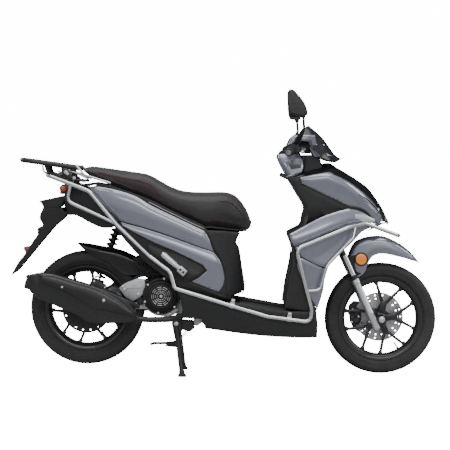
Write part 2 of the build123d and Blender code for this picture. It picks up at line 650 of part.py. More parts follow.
# ---- Body panels ------------------------------------------------------------------------------
def build_body():
    upper = [(-585, 826), (-560, 828), (-323, 764), (-86, 654), (-44, 556), (-323, 657), (-455, 694)]
    lower = [(-452, 690), (-323, 654), (-44, 553), (-2, 486), (8, 364), (-149, 426), (-76, 474),
             (-94, 500), (-323, 606), (-446, 672)]
    save("side_panels", skin(upper, REAR_PLAN), skin(lower, REAR_PLAN))
    cover = [(-336, 596), (-100, 492), (-82, 474), (-156, 424), (4, 358), (18, 342), (-196, 398),
             (-232, 440), (-248, 486), (-330, 548)]
    arm_hole = cross_rod(PEG_PIVOT, -BODY_HALF_WIDTH, BODY_HALF_WIDTH, PEG_ARM_R + GAP)
    save("side_covers", [side - arm_hole for side in skin(cover, [(x, w + 8) for x, w in REAR_PLAN])])
    front = [(-78, 652), (76, 638), (48, 586), (64, 578), (86, 405), (78, 372), (16, 356), (6, 486),
             (-36, 556)]
    sides = skin(front, REAR_PLAN)
    line = [(69, 626), (48, 586), (64, 578), (86, 405), (78, 372)]
    face = wide(line + [(x - PANEL_WALL, z) for x, z in reversed(line)], 90)
    limit = plan_limit(REAR_PLAN, PANEL_WALL)
    save("seat_front_panel", sides, face & limit)
    bucket = wide([(-262, 640), (30, 640), (30, 520), (-20, 478), (-240, 500)], 98)
    bucket -= wide([(-259, 700), (27, 700), (27, 521), (-21, 481), (-237, 503)], 95)
    lip = prism([(26, 632), (70, 643), (70, 640), (27, 628)], -40, 40)
    ears = [rod((SEAT_HINGE.X, y - 5, SEAT_HINGE.Z), (SEAT_HINGE.X, y + 5, SEAT_HINGE.Z), 6)
            + prism([(66, 643), (66, 638), (98, 642), (98, 654)], y - 5, y + 5) for y in (-32, 32)]
    bucket = bucket + lip + ears[0] + ears[1]
    bucket -= cross_rod(SEAT_HINGE, -60, 60, 3)
    save("storage_bucket", bucket, cross_rod(SEAT_HINGE, -38, 38, 3))
    save("fuel_tank", wide([(-560, 712), (-330, 684), (-330, 736), (-470, 800), (-560, 826)], 60))
    save("battery", Pos(150, 0, 252) * Box(150, 86, 60))


def build_front():
    rider_face = [(240, 972), (284, 884), (364, 745), (345, 664), (290, 638), (300, 580),
                  (310, 545), (268, 318)]
    shield = strip(rider_face, PANEL_WALL * 1.4, 180) & front_limit(
        [(177, 300), (177, 600), (146, 664), (106, 745), (102, 884), (70, 950), (62, 972), (36, 1000)])
    top = wide([(240, 974), (246, 992), (314, 966), (314, 962), (248, 987), (244, 972)], 36)
    lock = IGNITION
    shield -= rod(lock - IGNITION_RUN * 60, lock + IGNITION_RUN * 60, IGNITION_R + GAP)
    liner = wide([(404, 300), (406, 330), (424, 400), (450, 452), (482, 504), (478, 507),
                  (446, 455), (420, 402), (402, 331), (400, 300)], 96)
    spine_space = rod((345, 0, 470), (480, 0, 760), 24)
    save("leg_shield", shield + top, liner - spine_space)
    outline = [(289, 634), (292, 612), (308, 552), (361, 386), (411, 306), (440, 420), (454, 494),
               (507, 546), (566, 598), (612, 650), (600, 738), (549, 742), (425, 709)]
    save("leg_panels", skin(outline, APRON_PLAN))
    build_cowl()
    build_floor()


def build_cowl():
    ridge = [(424, 936), (474, 944), (508, 922), (554, 896), (606, 863), (649, 830), (687, 780),
             (715, 736), (738, 682)]
    top = strip(ridge, PANEL_WALL * 1.4, 90) & plan_limit(COWL_PLAN, PANEL_WALL + GAP)
    sides = skin([(290, 876), (345, 886), (424, 928), (470, 930), (540, 880), (700, 716), (702, 670),
                  (632, 731), (610, 745), (545, 748), (430, 712), (360, 684), (374, 745)],
                 [(x, w - PANEL_WALL - GAP) for x, w in COWL_PLAN])
    save("front_cowl", top, sides)
    panel = [(342, 882), (459, 901), (536, 872), (608, 824), (670, 767), (703, 714), (700, 668),
             (632, 733), (555, 752), (346, 860)]
    save("cowl_panels", skin(panel, COWL_PLAN))
    lens = wide([(640, 780), (676, 745), (688, 700), (640, 700)], 36)
    lens -= wide([(630, 776), (672, 742), (684, 704), (630, 704)], 33)
    save("headlight", lens)


def build_floor():
    side_line = [(-200, 392), (-181, 316), (-186, 266), (-97, 263), (-80, 222), (92, 196),
                 (259, 182), (410, 180), (404, 296), (266, 300), (59, 336), (14, 338)]
    floor = wide([(59, 336), (262, 300), (262, 296), (59, 332)], BODY_HALF_WIDTH - PANEL_WALL)
    belly = wide([(-50, 218), (92, 200), (259, 186), (396, 184), (396, 181), (259, 182),
                  (92, 196), (-50, 214)], BODY_HALF_WIDTH - PANEL_WALL)
    board = floor + belly
    for side in (-1, 1):
        inner, outer = side * (BODY_HALF_WIDTH - PANEL_WALL), side * BODY_HALF_WIDTH
        board += prism(side_line, min(inner, outer), max(inner, outer))
    save("floorboard", board)


# ---- Engine, drive and exhaust -------------------------------------------------------------------
CASE_WALL = 5.0
CVT_LOW_Y = 72.0
CVT_HIGH_Y = 138.0
CRANK_R = 12.0
FAN_R = 58.0
SHROUD_R = 80.0


def drive_outline(front_r, rear_r):
    """Belt-drive case seen from the side: two circles joined by tangents, as a solid sketch."""
    plane = Plane(origin=(0, 0, 0), x_dir=(1, 0, 0), z_dir=(0, -1, 0))
    front, rear = (CRANK.X, CRANK.Z), (REAR_AXLE.X, REAR_AXLE.Z)
    run = Vector(front[0] - rear[0], front[1] - rear[1])
    square = Vector(-run.Y, run.X).normalized()
    ends = [Vector(*front) + square * front_r, Vector(*front) - square * front_r,
            Vector(*rear) - square * rear_r, Vector(*rear) + square * rear_r]
    body = make_face(Polyline(*[(p.X, p.Y) for p in ends], close=True))
    sketch = body + Pos(*front) * Circle(front_r) + Pos(*rear) * Circle(rear_r)
    return plane * sketch


def drive_solid(front_r, rear_r, y_low, y_high):
    face = drive_outline(front_r, rear_r)
    return Pos(0, y_high, 0) * extrude(face, amount=y_high - y_low)


def engine_block():
    tub = drive_solid(74, 62, CVT_LOW_Y, CVT_HIGH_Y - 20)
    tub -= drive_solid(74 - CASE_WALL, 62 - CASE_WALL, CVT_LOW_Y + CASE_WALL, CVT_HIGH_Y)
    cover = drive_solid(74, 62, CVT_HIGH_Y - 19.9, CVT_HIGH_Y)
    cover -= drive_solid(74 - CASE_WALL, 62 - CASE_WALL, CVT_LOW_Y, CVT_HIGH_Y - CASE_WALL)
    case = cross_rod(CRANK, -62, CVT_LOW_Y, 72)
    case += wide([(-300, 290), (-230, 276), (-170, 262), (-96, 236), (-72, 240), (-72, 262),
                  (-120, 300), (-205, 330)], 34)
    case += cross_rod(SWING_PIVOT, -80, 80, 18)
    case += cross_rod(STAND_PIVOT, -70, 70, 17)
    tyre_side = REAR_TYRE_WIDTH / 2 + 3
    case += prism([(-300, 310), (-330, 296), (-388, 296), (-388, 330), (-320, 345)], -62, -tyre_side)
    arm = prism([(-364, 326), (-364, 300), (-600, 284), (-632, 300), (-600, 316), (-420, 330)],
                -92, -84)
    arm += cross_rod(REAR_AXLE, -92, -80, 22)
    case += arm + rod((-376, -tyre_side, 313), (-376, -88, 313), 10)
    case += prism([(-567, 397), (-591, 397), (-605, 340), (-555, 340)], CVT_LOW_Y, CVT_LOW_Y + 8)
    case += cross_rod(SHOCK_FOOT, CVT_LOW_Y + 2, SHOCK_Y + 14, SHOCK_PIN_R)
    hollow = cross_rod(CRANK, -58, CVT_LOW_Y - 6, 52)
    case = case + tub - hollow
    case -= cross_rod(CRANK, -80, CVT_HIGH_Y - 20, CRANK_R + RUN)
    case -= cross_rod(SWING_PIVOT, -100, 100, SWING_PIN_R + RUN)
    case -= cross_rod(STAND_PIVOT, -100, 100, STAND_TUBE_R + RUN)
    case -= cross_rod(REAR_AXLE, -120, CVT_LOW_Y + CASE_WALL, AXLE_R)
    return [case, cover]


SHOCK_PIN_R = 4.0
STAND_TUBE_R = 11.0


def cylinder_head():
    """Forward-leaning barrel with cooling fins, and the head with its valve cover."""
    lean = Vector(cos(radians(6)), 0, sin(radians(6)))
    start = Vector(-222, 0, 366)
    plane = Plane(origin=start, x_dir=(0, 1, 0), z_dir=lean)
    barrel = extrude(plane * RectangleRounded(84, 84, 10), amount=92)
    for index in range(7):
        fin_plane = Plane(origin=start + lean * (6 + index * 9), x_dir=(0, 1, 0), z_dir=lean)
        barrel += extrude(fin_plane * RectangleRounded(106, 100, 12), amount=3)
    cover_plane = Plane(origin=start + lean * 92.1, x_dir=(0, 1, 0), z_dir=lean)
    cover = extrude(cover_plane * RectangleRounded(78, 86, 16), amount=34)
    barrel -= cross_rod(CRANK, -80, 80, 72.1)
    return [barrel, cover]


def fan_shroud():
    """Cooling-fan cover with its pierced intake, the duct to the barrel and the oil filler."""
    outer = cross_rod(CRANK, -128, -64, SHROUD_R)
    outer -= cross_rod(CRANK, -122, -64, SHROUD_R - 6)
    for radius, count in ((12, 6), (22, 12), (32, 18)):
        for index in range(count):
            angle = radians(index * 360 / count)
            spot = CRANK + Vector(cos(angle), 0, sin(angle)) * radius
            outer -= cross_rod(spot, -130, -120, 3.6)
    duct = prism([(-214, 404), (-150, 424), (-110, 424), (-110, 346), (-206, 336)], -92, -64)
    duct -= prism([(-220, 398), (-150, 418), (-100, 418), (-100, 352), (-206, 342)], -88, -60)
    duct -= cross_rod(CRANK, -130, -60, SHROUD_R - 3)
    filler = rod((-364, -66, 346), (-374, -104, 348), 14)
    return [outer + duct, filler]


def muffler():
    outline = [(-850, 448), (-836, 378), (-748, 324), (-650, 282), (-592, 246), (-400, 244),
               (-386, 268), (-392, 300), (-458, 362), (-563, 404), (-748, 460), (-806, 466)]
    can = prism(outline, -186, -112)
    can = chamfer(can.edges().filter_by(lambda e: abs(e.length) > 20
                                        and abs((e @ 0).Y - (e @ 1).Y) < 1), 14)
    tip = rod((-843, -150, 414), (-866, -150, 422), 24, 18)
    pipe = bent_tube([(-390, -150, 262), (-300, -150, 258), (-212, -140, 264), (-150, -70, 278),
                      (-140, -56, 328)], 13, [60, 50, 14])
    bracket = prism([(-470, 330), (-430, 326), (-430, 300), (-470, 306)], -112.5, -92.1)
    return [can + tip + pipe + bracket]


def crankshaft_fan():
    shaft = cross_rod(CRANK, -112, CVT_HIGH_Y - 8, CRANK_R)
    shaft += cross_rod(CRANK, -22, 22, 46)
    fan = cross_rod(CRANK, -84, -80, FAN_R)
    for index in range(14):
        angle = radians(index * 360 / 14)
        plane = Plane(origin=(CRANK.X, -98, CRANK.Z), x_dir=(cos(angle), 0, sin(angle)),
                      z_dir=(0, 1, 0))
        fan += extrude(plane * Pos(46, 0) * Rectangle(20, 3), amount=15)
    pulley = cross_rod(CRANK, 86, 92, 50) + cross_rod(CRANK, 108, 114, 50)
    return shaft + fan + pulley


def air_box():
    box = prism([(-488, 468), (-330, 476), (-320, 446), (-340, 434), (-488, 404)], 76, 134)
    duct = bent_tube([(-326, 100, 458), (-262, 100, 466), (-206, 60, 462), (-190, 30, 440)], 14,
                     [36, 16])
    return box + duct


def rear_hugger():
    outer = [(-651, 586), (-534, 571), (-440, 545), (-340, 470), (-330, 440), (-390, 452),
             (-447, 452), (-512, 508), (-600, 554)]
    centre = REAR_AXLE
    blade = wide([(-651, 588), (-534, 573), (-430, 546), (-345, 500), (-330, 440), (-390, 440)], 62)
    blade -= cross_rod(centre, -70, 70, REAR_TYRE_R + 12)
    for side in (-1, 1):
        blade += prism(outer, *sorted((side * 62, side * 59)))
    blade -= cross_rod(CRANK, -80, 80, 72.5)
    shock_space = rod(SHOCK_FOOT, SHOCK_TOP, SPRING_R + 4)
    return blade - shock_space


def rear_axle():
    reach = 104.0
    shaft = cross_rod(REAR_AXLE, -reach, CVT_LOW_Y + 3, AXLE_R)
    return shaft + cross_rod(REAR_AXLE, -reach, -92.1, 14, AXLE_R)


SPRING_R = 26.0
SPRING_WIRE = 4.5
SHOCK_BODY_R = 13.0
SHOCK_ROD_R = 5.0
SHOCK_BODY_START = 128.0
SHOCK_ROD_END = 236.0
SHOCK_LENGTH = (SHOCK_TOP - SHOCK_FOOT).length
SHOCK_UP = (SHOCK_TOP - SHOCK_FOOT).normalized()


def shock_point(from_foot):
    return SHOCK_FOOT + SHOCK_UP * from_foot


def build_shock():
    head = cross_rod(SHOCK_TOP, SHOCK_Y - SHOCK_HEAD_HALF, SHOCK_Y + SHOCK_HEAD_HALF, 12)
    body = rod(shock_point(SHOCK_BODY_START), shock_point(SHOCK_LENGTH - 8), SHOCK_BODY_R)
    cap = rod(shock_point(SHOCK_LENGTH - 34), shock_point(SHOCK_LENGTH - 28), SPRING_R)
    body = body + head + cap
    body -= rod(shock_point(SHOCK_BODY_START - 5), shock_point(SHOCK_LENGTH - 14), SHOCK_ROD_R + RUN)
    save("shock_body", body - cross_rod(SHOCK_TOP, 0, 200, SHOCK_BOLT_R + RUN))
    eye = cross_rod(SHOCK_FOOT, SHOCK_Y - 11, SHOCK_Y + 11, 13)
    lower = eye + rod(shock_point(10), shock_point(SHOCK_ROD_END), SHOCK_ROD_R)
    lower += rod(shock_point(24), shock_point(30), SPRING_R)
    lower -= cross_rod(SHOCK_FOOT, 0, 200, SHOCK_PIN_R + FREE)
    save("shock_rod", lower)
    coil = rod(shock_point(31), shock_point(SHOCK_LENGTH - 35), SPRING_R,
               SPRING_R - 2 * SPRING_WIRE)
    save("shock_spring", coil)


def build_engine():
    save("engine_block", engine_block(), cylinder_head())
    save("fan_shroud", fan_shroud())
    save("muffler", muffler())
    save("crankshaft_fan", crankshaft_fan())
    save("air_box", air_box())
    save("rear_hugger", rear_hugger())
    save("rear_caliper", caliper(REAR_AXLE, REAR_DISC_Y, 62))
    save("rear_axle", rear_axle())
    build_shock()


def center_stand():
    legs = cross_rod(STAND_PIVOT, -STAND_HALF_WIDTH, STAND_HALF_WIDTH, STAND_TUBE_R)
    leg_r = 12.0
    for side in (-1, 1):
        top = STAND_PIVOT + Vector(0, side * (STAND_HALF_WIDTH - 10), 0)
        foot = Vector(STAND_FOOT.X, side * (STAND_HALF_WIDTH + 18), leg_r)
        legs += rod(top, foot, leg_r)
        toe = Vector(foot.X + 22, foot.Y, leg_r)
        heel = Vector(foot.X - 18, foot.Y, leg_r)
        legs += rod(heel, toe, leg_r)
        legs += Pos(foot.X, foot.Y, 2) * Box(52, 2 * leg_r, 4)
    brace = STAND_PIVOT + (STAND_FOOT - STAND_PIVOT) * 0.5
    legs += rod((brace.X, -100, brace.Z), (brace.X, 100, brace.Z), 9)
    legs += bent_tube([(brace.X, 96, brace.Z), (brace.X - 4, 156, brace.Z),
                       (brace.X - 70, 160, brace.Z - 8), (brace.X - 140, 160, brace.Z - 4)], 7, 16)
    return legs


# ---- Seat -----------------------------------------------------------------------------------------
SEAT_BOTTOM = [(-498, 846), (-326, 772), (-283, 748), (-156, 694), (-80, 662), (-63, 664), (72, 647),
               (84, 654)]
SEAT_TOP = [(118, 656), (128, 688), (102, 742), (72, 780), (42, 804), (4, 814), (-156, 814),
            (-242, 840), (-329, 890), (-617, 930), (-633, 922), (-600, 892)]


def build_seat():
    base_bottom = [(x, z - 3) for x, z in SEAT_BOTTOM[:-2]] + [(72, 646.5), (84, 652)]
    limit = plan_limit(SEAT_PLAN)
    cushion = wide([(x, z + 6) for x, z in SEAT_BOTTOM] + SEAT_TOP, 200) & limit
    base = wide([(x, z + 5.5) for x, z in SEAT_BOTTOM] + base_bottom[::-1], 200)
    base &= plan_limit(SEAT_PLAN, 6)
    lug = cross_rod(SEAT_HINGE, -20, 20, 6) + wide([(84, 659), (84, 648), (98, 643), (98, 654)], 20)
    base += lug
    hinge_room = cross_rod(SEAT_HINGE, -40, 40, 9)
    save("seat_cushion", cushion - hinge_room)
    base -= cross_rod(SEAT_HINGE, -60, 60, 3 + RUN)
    save("seat_base", base)


def ignition_lock():
    """Lock barrel with its key; it turns about its own line in the knee panel."""
    barrel = rod(IGNITION, IGNITION + IGNITION_RUN * 32, IGNITION_R)
    plane = Plane(origin=IGNITION + IGNITION_RUN * 46, x_dir=IGNITION_RUN, z_dir=(0, 1, 0))
    return barrel + extrude(plane * RectangleRounded(34, 20, 5), amount=1.5, both=True)


def main():
    os.makedirs("parts", exist_ok=True)
    save("main_frame", main_frame())
    save("crash_bar_right", crash_bar(-1))
    save("crash_bar_left", crash_bar(1))
    save("rear_rack", rear_rack())
    build_wheels()
    build_fork()
    build_steering()
    build_tail()
    build_body()
    build_front()
    build_engine()
    save("center_stand", center_stand())
    save("peg_right", peg(-1))
    save("peg_left", peg(1))
    build_seat()
    save("ignition_lock", ignition_lock())


main()
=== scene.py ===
import json
from math import atan2, cos, degrees, hypot, pi, radians, sin, tau

import bmesh
import bpy
from mathutils import Matrix, Vector


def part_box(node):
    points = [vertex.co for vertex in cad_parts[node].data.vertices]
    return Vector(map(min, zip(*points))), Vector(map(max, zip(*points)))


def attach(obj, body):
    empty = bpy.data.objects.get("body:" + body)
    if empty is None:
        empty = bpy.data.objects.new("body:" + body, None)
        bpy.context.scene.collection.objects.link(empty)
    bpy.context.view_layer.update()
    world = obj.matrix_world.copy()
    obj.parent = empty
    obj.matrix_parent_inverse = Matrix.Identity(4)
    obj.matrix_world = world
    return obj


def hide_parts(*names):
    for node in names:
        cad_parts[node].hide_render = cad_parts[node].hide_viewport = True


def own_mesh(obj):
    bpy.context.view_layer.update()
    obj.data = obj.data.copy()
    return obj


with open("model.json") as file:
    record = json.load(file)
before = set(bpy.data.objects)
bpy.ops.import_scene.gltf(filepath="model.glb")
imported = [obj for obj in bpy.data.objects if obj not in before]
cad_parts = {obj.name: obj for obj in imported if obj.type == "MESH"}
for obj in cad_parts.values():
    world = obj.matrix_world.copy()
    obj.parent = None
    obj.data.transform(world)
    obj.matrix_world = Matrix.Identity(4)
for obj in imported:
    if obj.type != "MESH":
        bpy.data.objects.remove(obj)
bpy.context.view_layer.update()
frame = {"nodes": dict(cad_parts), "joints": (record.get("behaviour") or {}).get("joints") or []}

MM = 0.001
NODES = frame["nodes"]
JOINTS = {j["name"]: j for j in frame["joints"]}
SIDES = ((-1, "right"), (1, "left"))


def centre(node):
    low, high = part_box(node)
    return Vector([(low[i] + high[i]) / 2 for i in range(3)]) / MM


FRONT_AXLE = Vector((centre("front_tyre").x, 0, centre("front_tyre").z))
REAR_AXLE = Vector((centre("rear_tyre").x, 0, centre("rear_tyre").z))
FRONT_R = (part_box("front_tyre")[1][2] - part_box("front_tyre")[0][2]) / 2 / MM
REAR_R = (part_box("rear_tyre")[1][2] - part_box("rear_tyre")[0][2]) / 2 / MM
STEER_UP = Vector(JOINTS["steering"]["axis"])
STEER_AHEAD = Vector((STEER_UP.z, 0, -STEER_UP.x))
STEER_BASE = FRONT_AXLE - STEER_AHEAD * 35.5
CRANK = Vector((-277, 0, 358))


def steer(along, ahead=0.0, y=0.0):
    return STEER_BASE + STEER_UP * along + STEER_AHEAD * ahead + Vector((0, y, 0))


# ---- Shared shader groups ------------------------------------------------------------------
def new_group(name, inputs, outputs):
    tree = bpy.data.node_groups.new(name, "ShaderNodeTree")
    for label, value in inputs:
        socket = tree.interface.new_socket(name=label, in_out="INPUT", socket_type="NodeSocketFloat")
        socket.default_value = value
    for label, kind in outputs:
        tree.interface.new_socket(name=label, in_out="OUTPUT", socket_type=kind)
    return tree, tree.nodes.new("NodeGroupInput"), tree.nodes.new("NodeGroupOutput")


def math_node(tree, operation, a, b=None, clamp=False):
    node = tree.nodes.new("ShaderNodeMath")
    node.operation = operation
    node.use_clamp = clamp
    for index, value in enumerate((a, b)):
        if value is None:
            continue
        if isinstance(value, (int, float)):
            node.inputs[index].default_value = value
        else:
            tree.links.new(value, node.inputs[index])
    return node.outputs[0]


def make_grain_group():
    """Fine moulded grain: a normal and a mottling mask. Scale is in cells to the metre."""
    tree, given, out = new_group("moulded_grain", [("Scale", 1400.0), ("Strength", 0.25)],
            [("Normal", "NodeSocketVector"), ("Mask", "NodeSocketFloat")])
    place = tree.nodes.new("ShaderNodeTexCoord")
    cells = tree.nodes.new("ShaderNodeTexVoronoi")
    cells.feature = "SMOOTH_F1"
    cloud = tree.nodes.new("ShaderNodeTexNoise")
    cloud.inputs["Scale"].default_value = 14.0
    cloud.inputs["Detail"].default_value = 5.0
    bump = tree.nodes.new("ShaderNodeBump")
    bump.inputs["Distance"].default_value = 0.0006
    for node in (cells, cloud):
        tree.links.new(place.outputs["Object"], node.inputs["Vector"])
    tree.links.new(given.outputs["Scale"], cells.inputs["Scale"])
    tree.links.new(given.outputs["Strength"], bump.inputs["Strength"])
    tree.links.new(cells.outputs["Distance"], bump.inputs["Height"])
    tree.links.new(bump.outputs["Normal"], out.inputs["Normal"])
    tree.links.new(cloud.outputs["Fac"], out.inputs["Mask"])
    return tree


def make_wear_group():
    """Dust and handling: a patchy mask that is stronger low down, and a streaked roughness mask."""
    tree, given, out = new_group("dust_and_streaks", [("Amount", 0.3), ("Streaks", 60.0)],
            [("Dust", "NodeSocketFloat"), ("Streak", "NodeSocketFloat")])
    place = tree.nodes.new("ShaderNodeTexCoord")
    cloud = tree.nodes.new("ShaderNodeTexNoise")
    cloud.inputs["Scale"].default_value = 9.0
    cloud.inputs["Detail"].default_value = 8.0
    cloud.inputs["Roughness"].default_value = 0.65
    tree.links.new(place.outputs["Object"], cloud.inputs["Vector"])
    split = tree.nodes.new("ShaderNodeSeparateXYZ")
    tree.links.new(place.outputs["Object"], split.inputs[0])
    low = math_node(tree, "MULTIPLY_ADD", split.outputs["Z"], -0.7, clamp=True)
    low.node.inputs[2].default_value = 0.75
    patch = math_node(tree, "POWER", cloud.outputs["Fac"], 2.2)
    dust = math_node(tree, "MULTIPLY", patch, low)
    tree.links.new(math_node(tree, "MULTIPLY", dust, given.outputs["Amount"], clamp=True), out.inputs["Dust"])
    stretch = tree.nodes.new("ShaderNodeMapping")
    stretch.inputs["Scale"].default_value = (1.0, 1.0, 0.12)
    tree.links.new(place.outputs["Object"], stretch.inputs["Vector"])
    lines = tree.nodes.new("ShaderNodeTexNoise")
    lines.inputs["Detail"].default_value = 3.0
    tree.links.new(stretch.outputs[0], lines.inputs["Vector"])
    tree.links.new(given.outputs["Streaks"], lines.inputs["Scale"])
    tree.links.new(lines.outputs["Fac"], out.inputs["Streak"])
    return tree


GRAIN = make_grain_group()
WEAR = make_wear_group()


def mix_color(tree, factor, a, b):
    node = tree.nodes.new("ShaderNodeMix")
    node.data_type = "RGBA"
    for index, value in ((6, a), (7, b)):
        if isinstance(value, tuple):
            node.inputs[index].default_value = (*value, 1.0)
        else:
            tree.links.new(value, node.inputs[index])
    if isinstance(factor, (int, float)):
        node.inputs[0].default_value = factor
    else:
        tree.links.new(factor, node.inputs[0])
    return node.outputs[2]


def finish_material(name, color, rough, metal=0.0, coat=0.0, grain=(1400.0, 0.0), dust=0.15,
        rough_vary=0.12, mottled=0.06, streaks=60.0, **sockets):
    """Painted, moulded or bare surface with grain, mottling, streaked sheen and a little dust."""
    material = bpy.data.materials.new(name)
    material.use_nodes = True
    tree = material.node_tree
    shader = tree.nodes["Principled BSDF"]
    shader.inputs["Metallic"].default_value = metal
    shader.inputs["Coat Weight"].default_value = coat
    shader.inputs["Coat Roughness"].default_value = 0.06
    shader.inputs["Specular IOR Level"].default_value = 0.32 if max(color) < 0.04 else 0.5
    for label, value in sockets.items():
        shader.inputs[label.replace("_", " ")].default_value = value
    worn = tree.nodes.new("ShaderNodeGroup")
    worn.node_tree = WEAR
    worn.inputs["Amount"].default_value = dust
    worn.inputs["Streaks"].default_value = streaks
    grained = tree.nodes.new("ShaderNodeGroup")
    grained.node_tree = GRAIN
    grained.inputs["Scale"].default_value = grain[0]
    grained.inputs["Strength"].default_value = grain[1]
    deep = tuple(c * (1 - mottled) for c in color)
    pale = tuple(min(1.0, c * (1 + mottled)) for c in color)
    base = mix_color(tree, grained.outputs["Mask"], deep, pale)
    dusty = mix_color(tree, worn.outputs["Dust"], base, (0.20, 0.19, 0.18))
    tree.links.new(dusty, shader.inputs["Base Color"])
    span = math_node(tree, "MULTIPLY_ADD", worn.outputs["Streak"], rough_vary)
    span.node.inputs[2].default_value = rough - rough_vary / 2
    tree.links.new(math_node(tree, "ADD", span, math_node(tree, "MULTIPLY", worn.outputs["Dust"], 0.5),
            clamp=True), shader.inputs["Roughness"])
    tree.links.new(grained.outputs["Normal"], shader.inputs["Normal"])
    return material


def add_flake(material, amount):
    """Metal flake in a clear-coated paint: tiny cells that turn the base normal a little."""
    tree = material.node_tree
    shader = tree.nodes["Principled BSDF"]
    place = tree.nodes.new("ShaderNodeTexCoord")
    cells = tree.nodes.new("ShaderNodeTexVoronoi")
    cells.inputs["Scale"].default_value = 2600.0
    tree.links.new(place.outputs["Object"], cells.inputs["Vector"])
    bump = tree.nodes.new("ShaderNodeBump")
    bump.inputs["Strength"].default_value = amount
    bump.inputs["Distance"].default_value = 0.0002
    tree.links.new(cells.outputs["Color"], bump.inputs["Height"])
    tree.links.new(bump.outputs["Normal"], shader.inputs["Normal"])
    return material


def ringed(material, middle, pitch, strength):
    """Turned or brushed rings about a Y axis through the middle, as bump."""
    tree = material.node_tree
    shader = tree.nodes["Principled BSDF"]
    place = tree.nodes.new("ShaderNodeTexCoord")
    shift = tree.nodes.new("ShaderNodeMapping")
    shift.inputs["Location"].default_value = (-middle.x * MM, 0, -middle.z * MM)
    tree.links.new(place.outputs["Object"], shift.inputs["Vector"])
    rings = tree.nodes.new("ShaderNodeTexWave")
    rings.wave_type = "RINGS"
    rings.rings_direction = "Y"
    rings.inputs["Scale"].default_value = 1 / pitch
    rings.inputs["Distortion"].default_value = 0.6
    tree.links.new(shift.outputs[0], rings.inputs["Vector"])
    bump = tree.nodes.new("ShaderNodeBump")
    bump.inputs["Strength"].default_value = strength
    bump.inputs["Distance"].default_value = 0.0004
    tree.links.new(rings.outputs["Fac"], bump.inputs["Height"])
    tree.links.new(bump.outputs["Normal"], shader.inputs["Normal"])
    return material


def lens_material(name, color, scale, transmission=0.0, strength=0.5, glow=0.0):
    """Moulded lens: a cellular prism pattern under a smooth clear face."""
    material = bpy.data.materials.new(name)
    material.use_nodes = True
    tree = material.node_tree
    shader = tree.nodes["Principled BSDF"]
    place = tree.nodes.new("ShaderNodeTexCoord")
    cells = tree.nodes.new("ShaderNodeTexVoronoi")
    cells.feature = "F1"
    cells.distance = "CHEBYCHEV"
    cells.inputs["Scale"].default_value = scale
    cells.inputs["Randomness"].default_value = 0.15
    tree.links.new(place.outputs["Object"], cells.inputs["Vector"])
    deep = tuple(c * 0.45 for c in color)
    tree.links.new(mix_color(tree, cells.outputs["Distance"], color, deep), shader.inputs["Base Color"])
    bump = tree.nodes.new("ShaderNodeBump")
    bump.inputs["Strength"].default_value = strength
    bump.inputs["Distance"].default_value = 0.001
    tree.links.new(cells.outputs["Distance"], bump.inputs["Height"])
    tree.links.new(bump.outputs["Normal"], shader.inputs["Normal"])
    shader.inputs["Roughness"].default_value = 0.12
    shader.inputs["Coat Weight"].default_value = 1.0
    shader.inputs["Coat Roughness"].default_value = 0.03
    shader.inputs["Transmission Weight"].default_value = transmission
    # Emission here makes a lens glow; on a lens that is no lamp this glow is painted light.
    if glow:
        shader.inputs["Emission Color"].default_value = (*color, 1.0)
        shader.inputs["Emission Strength"].default_value = glow
    return material


PAINT = add_flake(finish_material("silver_grey_paint", (0.235, 0.24, 0.295), 0.28, metal=0.6,
        coat=1.0, dust=0.04, rough_vary=0.02, streaks=8.0), 0.05)
PAINT_DARK = add_flake(finish_material("deep_grey_paint", (0.10, 0.10, 0.125), 0.28, metal=0.5,
        coat=1.0, dust=0.04, rough_vary=0.02, streaks=8.0), 0.05)
PLASTIC = finish_material("grained_black_plastic", (0.017, 0.017, 0.018), 0.48, grain=(1100.0, 0.35),
        dust=0.12)
GLOSS = finish_material("gloss_black_plastic", (0.010, 0.010, 0.011), 0.20, coat=0.6, dust=0.06,
        rough_vary=0.05)
FRAME_BLACK = finish_material("satin_black_paint", (0.012, 0.012, 0.013), 0.36, coat=0.25,
        grain=(420.0, 0.12), dust=0.25)
RIM_BLACK = finish_material("rim_black_paint", (0.013, 0.013, 0.014), 0.30, coat=0.4,
        grain=(300.0, 0.08), dust=0.2)
EXHAUST = finish_material("heatproof_black", (0.014, 0.014, 0.015), 0.33, grain=(900.0, 0.18),
        dust=0.2, coat=0.2)
TUBE = finish_material("bright_tube", (0.62, 0.63, 0.65), 0.12, metal=1.0, grain=(700.0, 0.03),
        dust=0.05, streaks=260.0, rough_vary=0.12)
ZINC = finish_material("zinc_fastener", (0.70, 0.70, 0.70), 0.28, metal=1.0, grain=(1600.0, 0.08),
        dust=0.1)
ALLOY = finish_material("cast_alloy", (0.52, 0.53, 0.55), 0.46, metal=0.9, grain=(520.0, 0.35),
        dust=0.45, mottled=0.14)
ALLOY_DARK = finish_material("dark_cast_alloy", (0.045, 0.046, 0.05), 0.50, metal=0.5,
        grain=(520.0, 0.35), dust=0.35, mottled=0.2)
SLIDER = finish_material("silver_leg_paint", (0.62, 0.63, 0.65), 0.30, metal=0.85, coat=0.4,
        grain=(500.0, 0.05), dust=0.1)
RUBBER = finish_material("soft_rubber", (0.018, 0.018, 0.019), 0.62, grain=(1700.0, 0.3), dust=0.25)
TYRE = finish_material("tyre_rubber", (0.020, 0.020, 0.021), 0.66, grain=(900.0, 0.3), dust=0.5,
        mottled=0.16)
MAT = finish_material("ribbed_mat", (0.030, 0.030, 0.031), 0.60, grain=(900.0, 0.4), dust=0.35)
DISC_FRONT = ringed(finish_material("brake_disc_front", (0.42, 0.42, 0.43), 0.30, metal=1.0), FRONT_AXLE,
        0.004, 0.35)
DISC_REAR = ringed(finish_material("brake_disc_rear", (0.030, 0.030, 0.032), 0.40, metal=0.6), REAR_AXLE,
        0.004, 0.35)
MIRROR_GLASS = finish_material("mirror_silver", (0.88, 0.89, 0.90), 0.03, metal=1.0, rough_vary=0.02,
        dust=0.03)
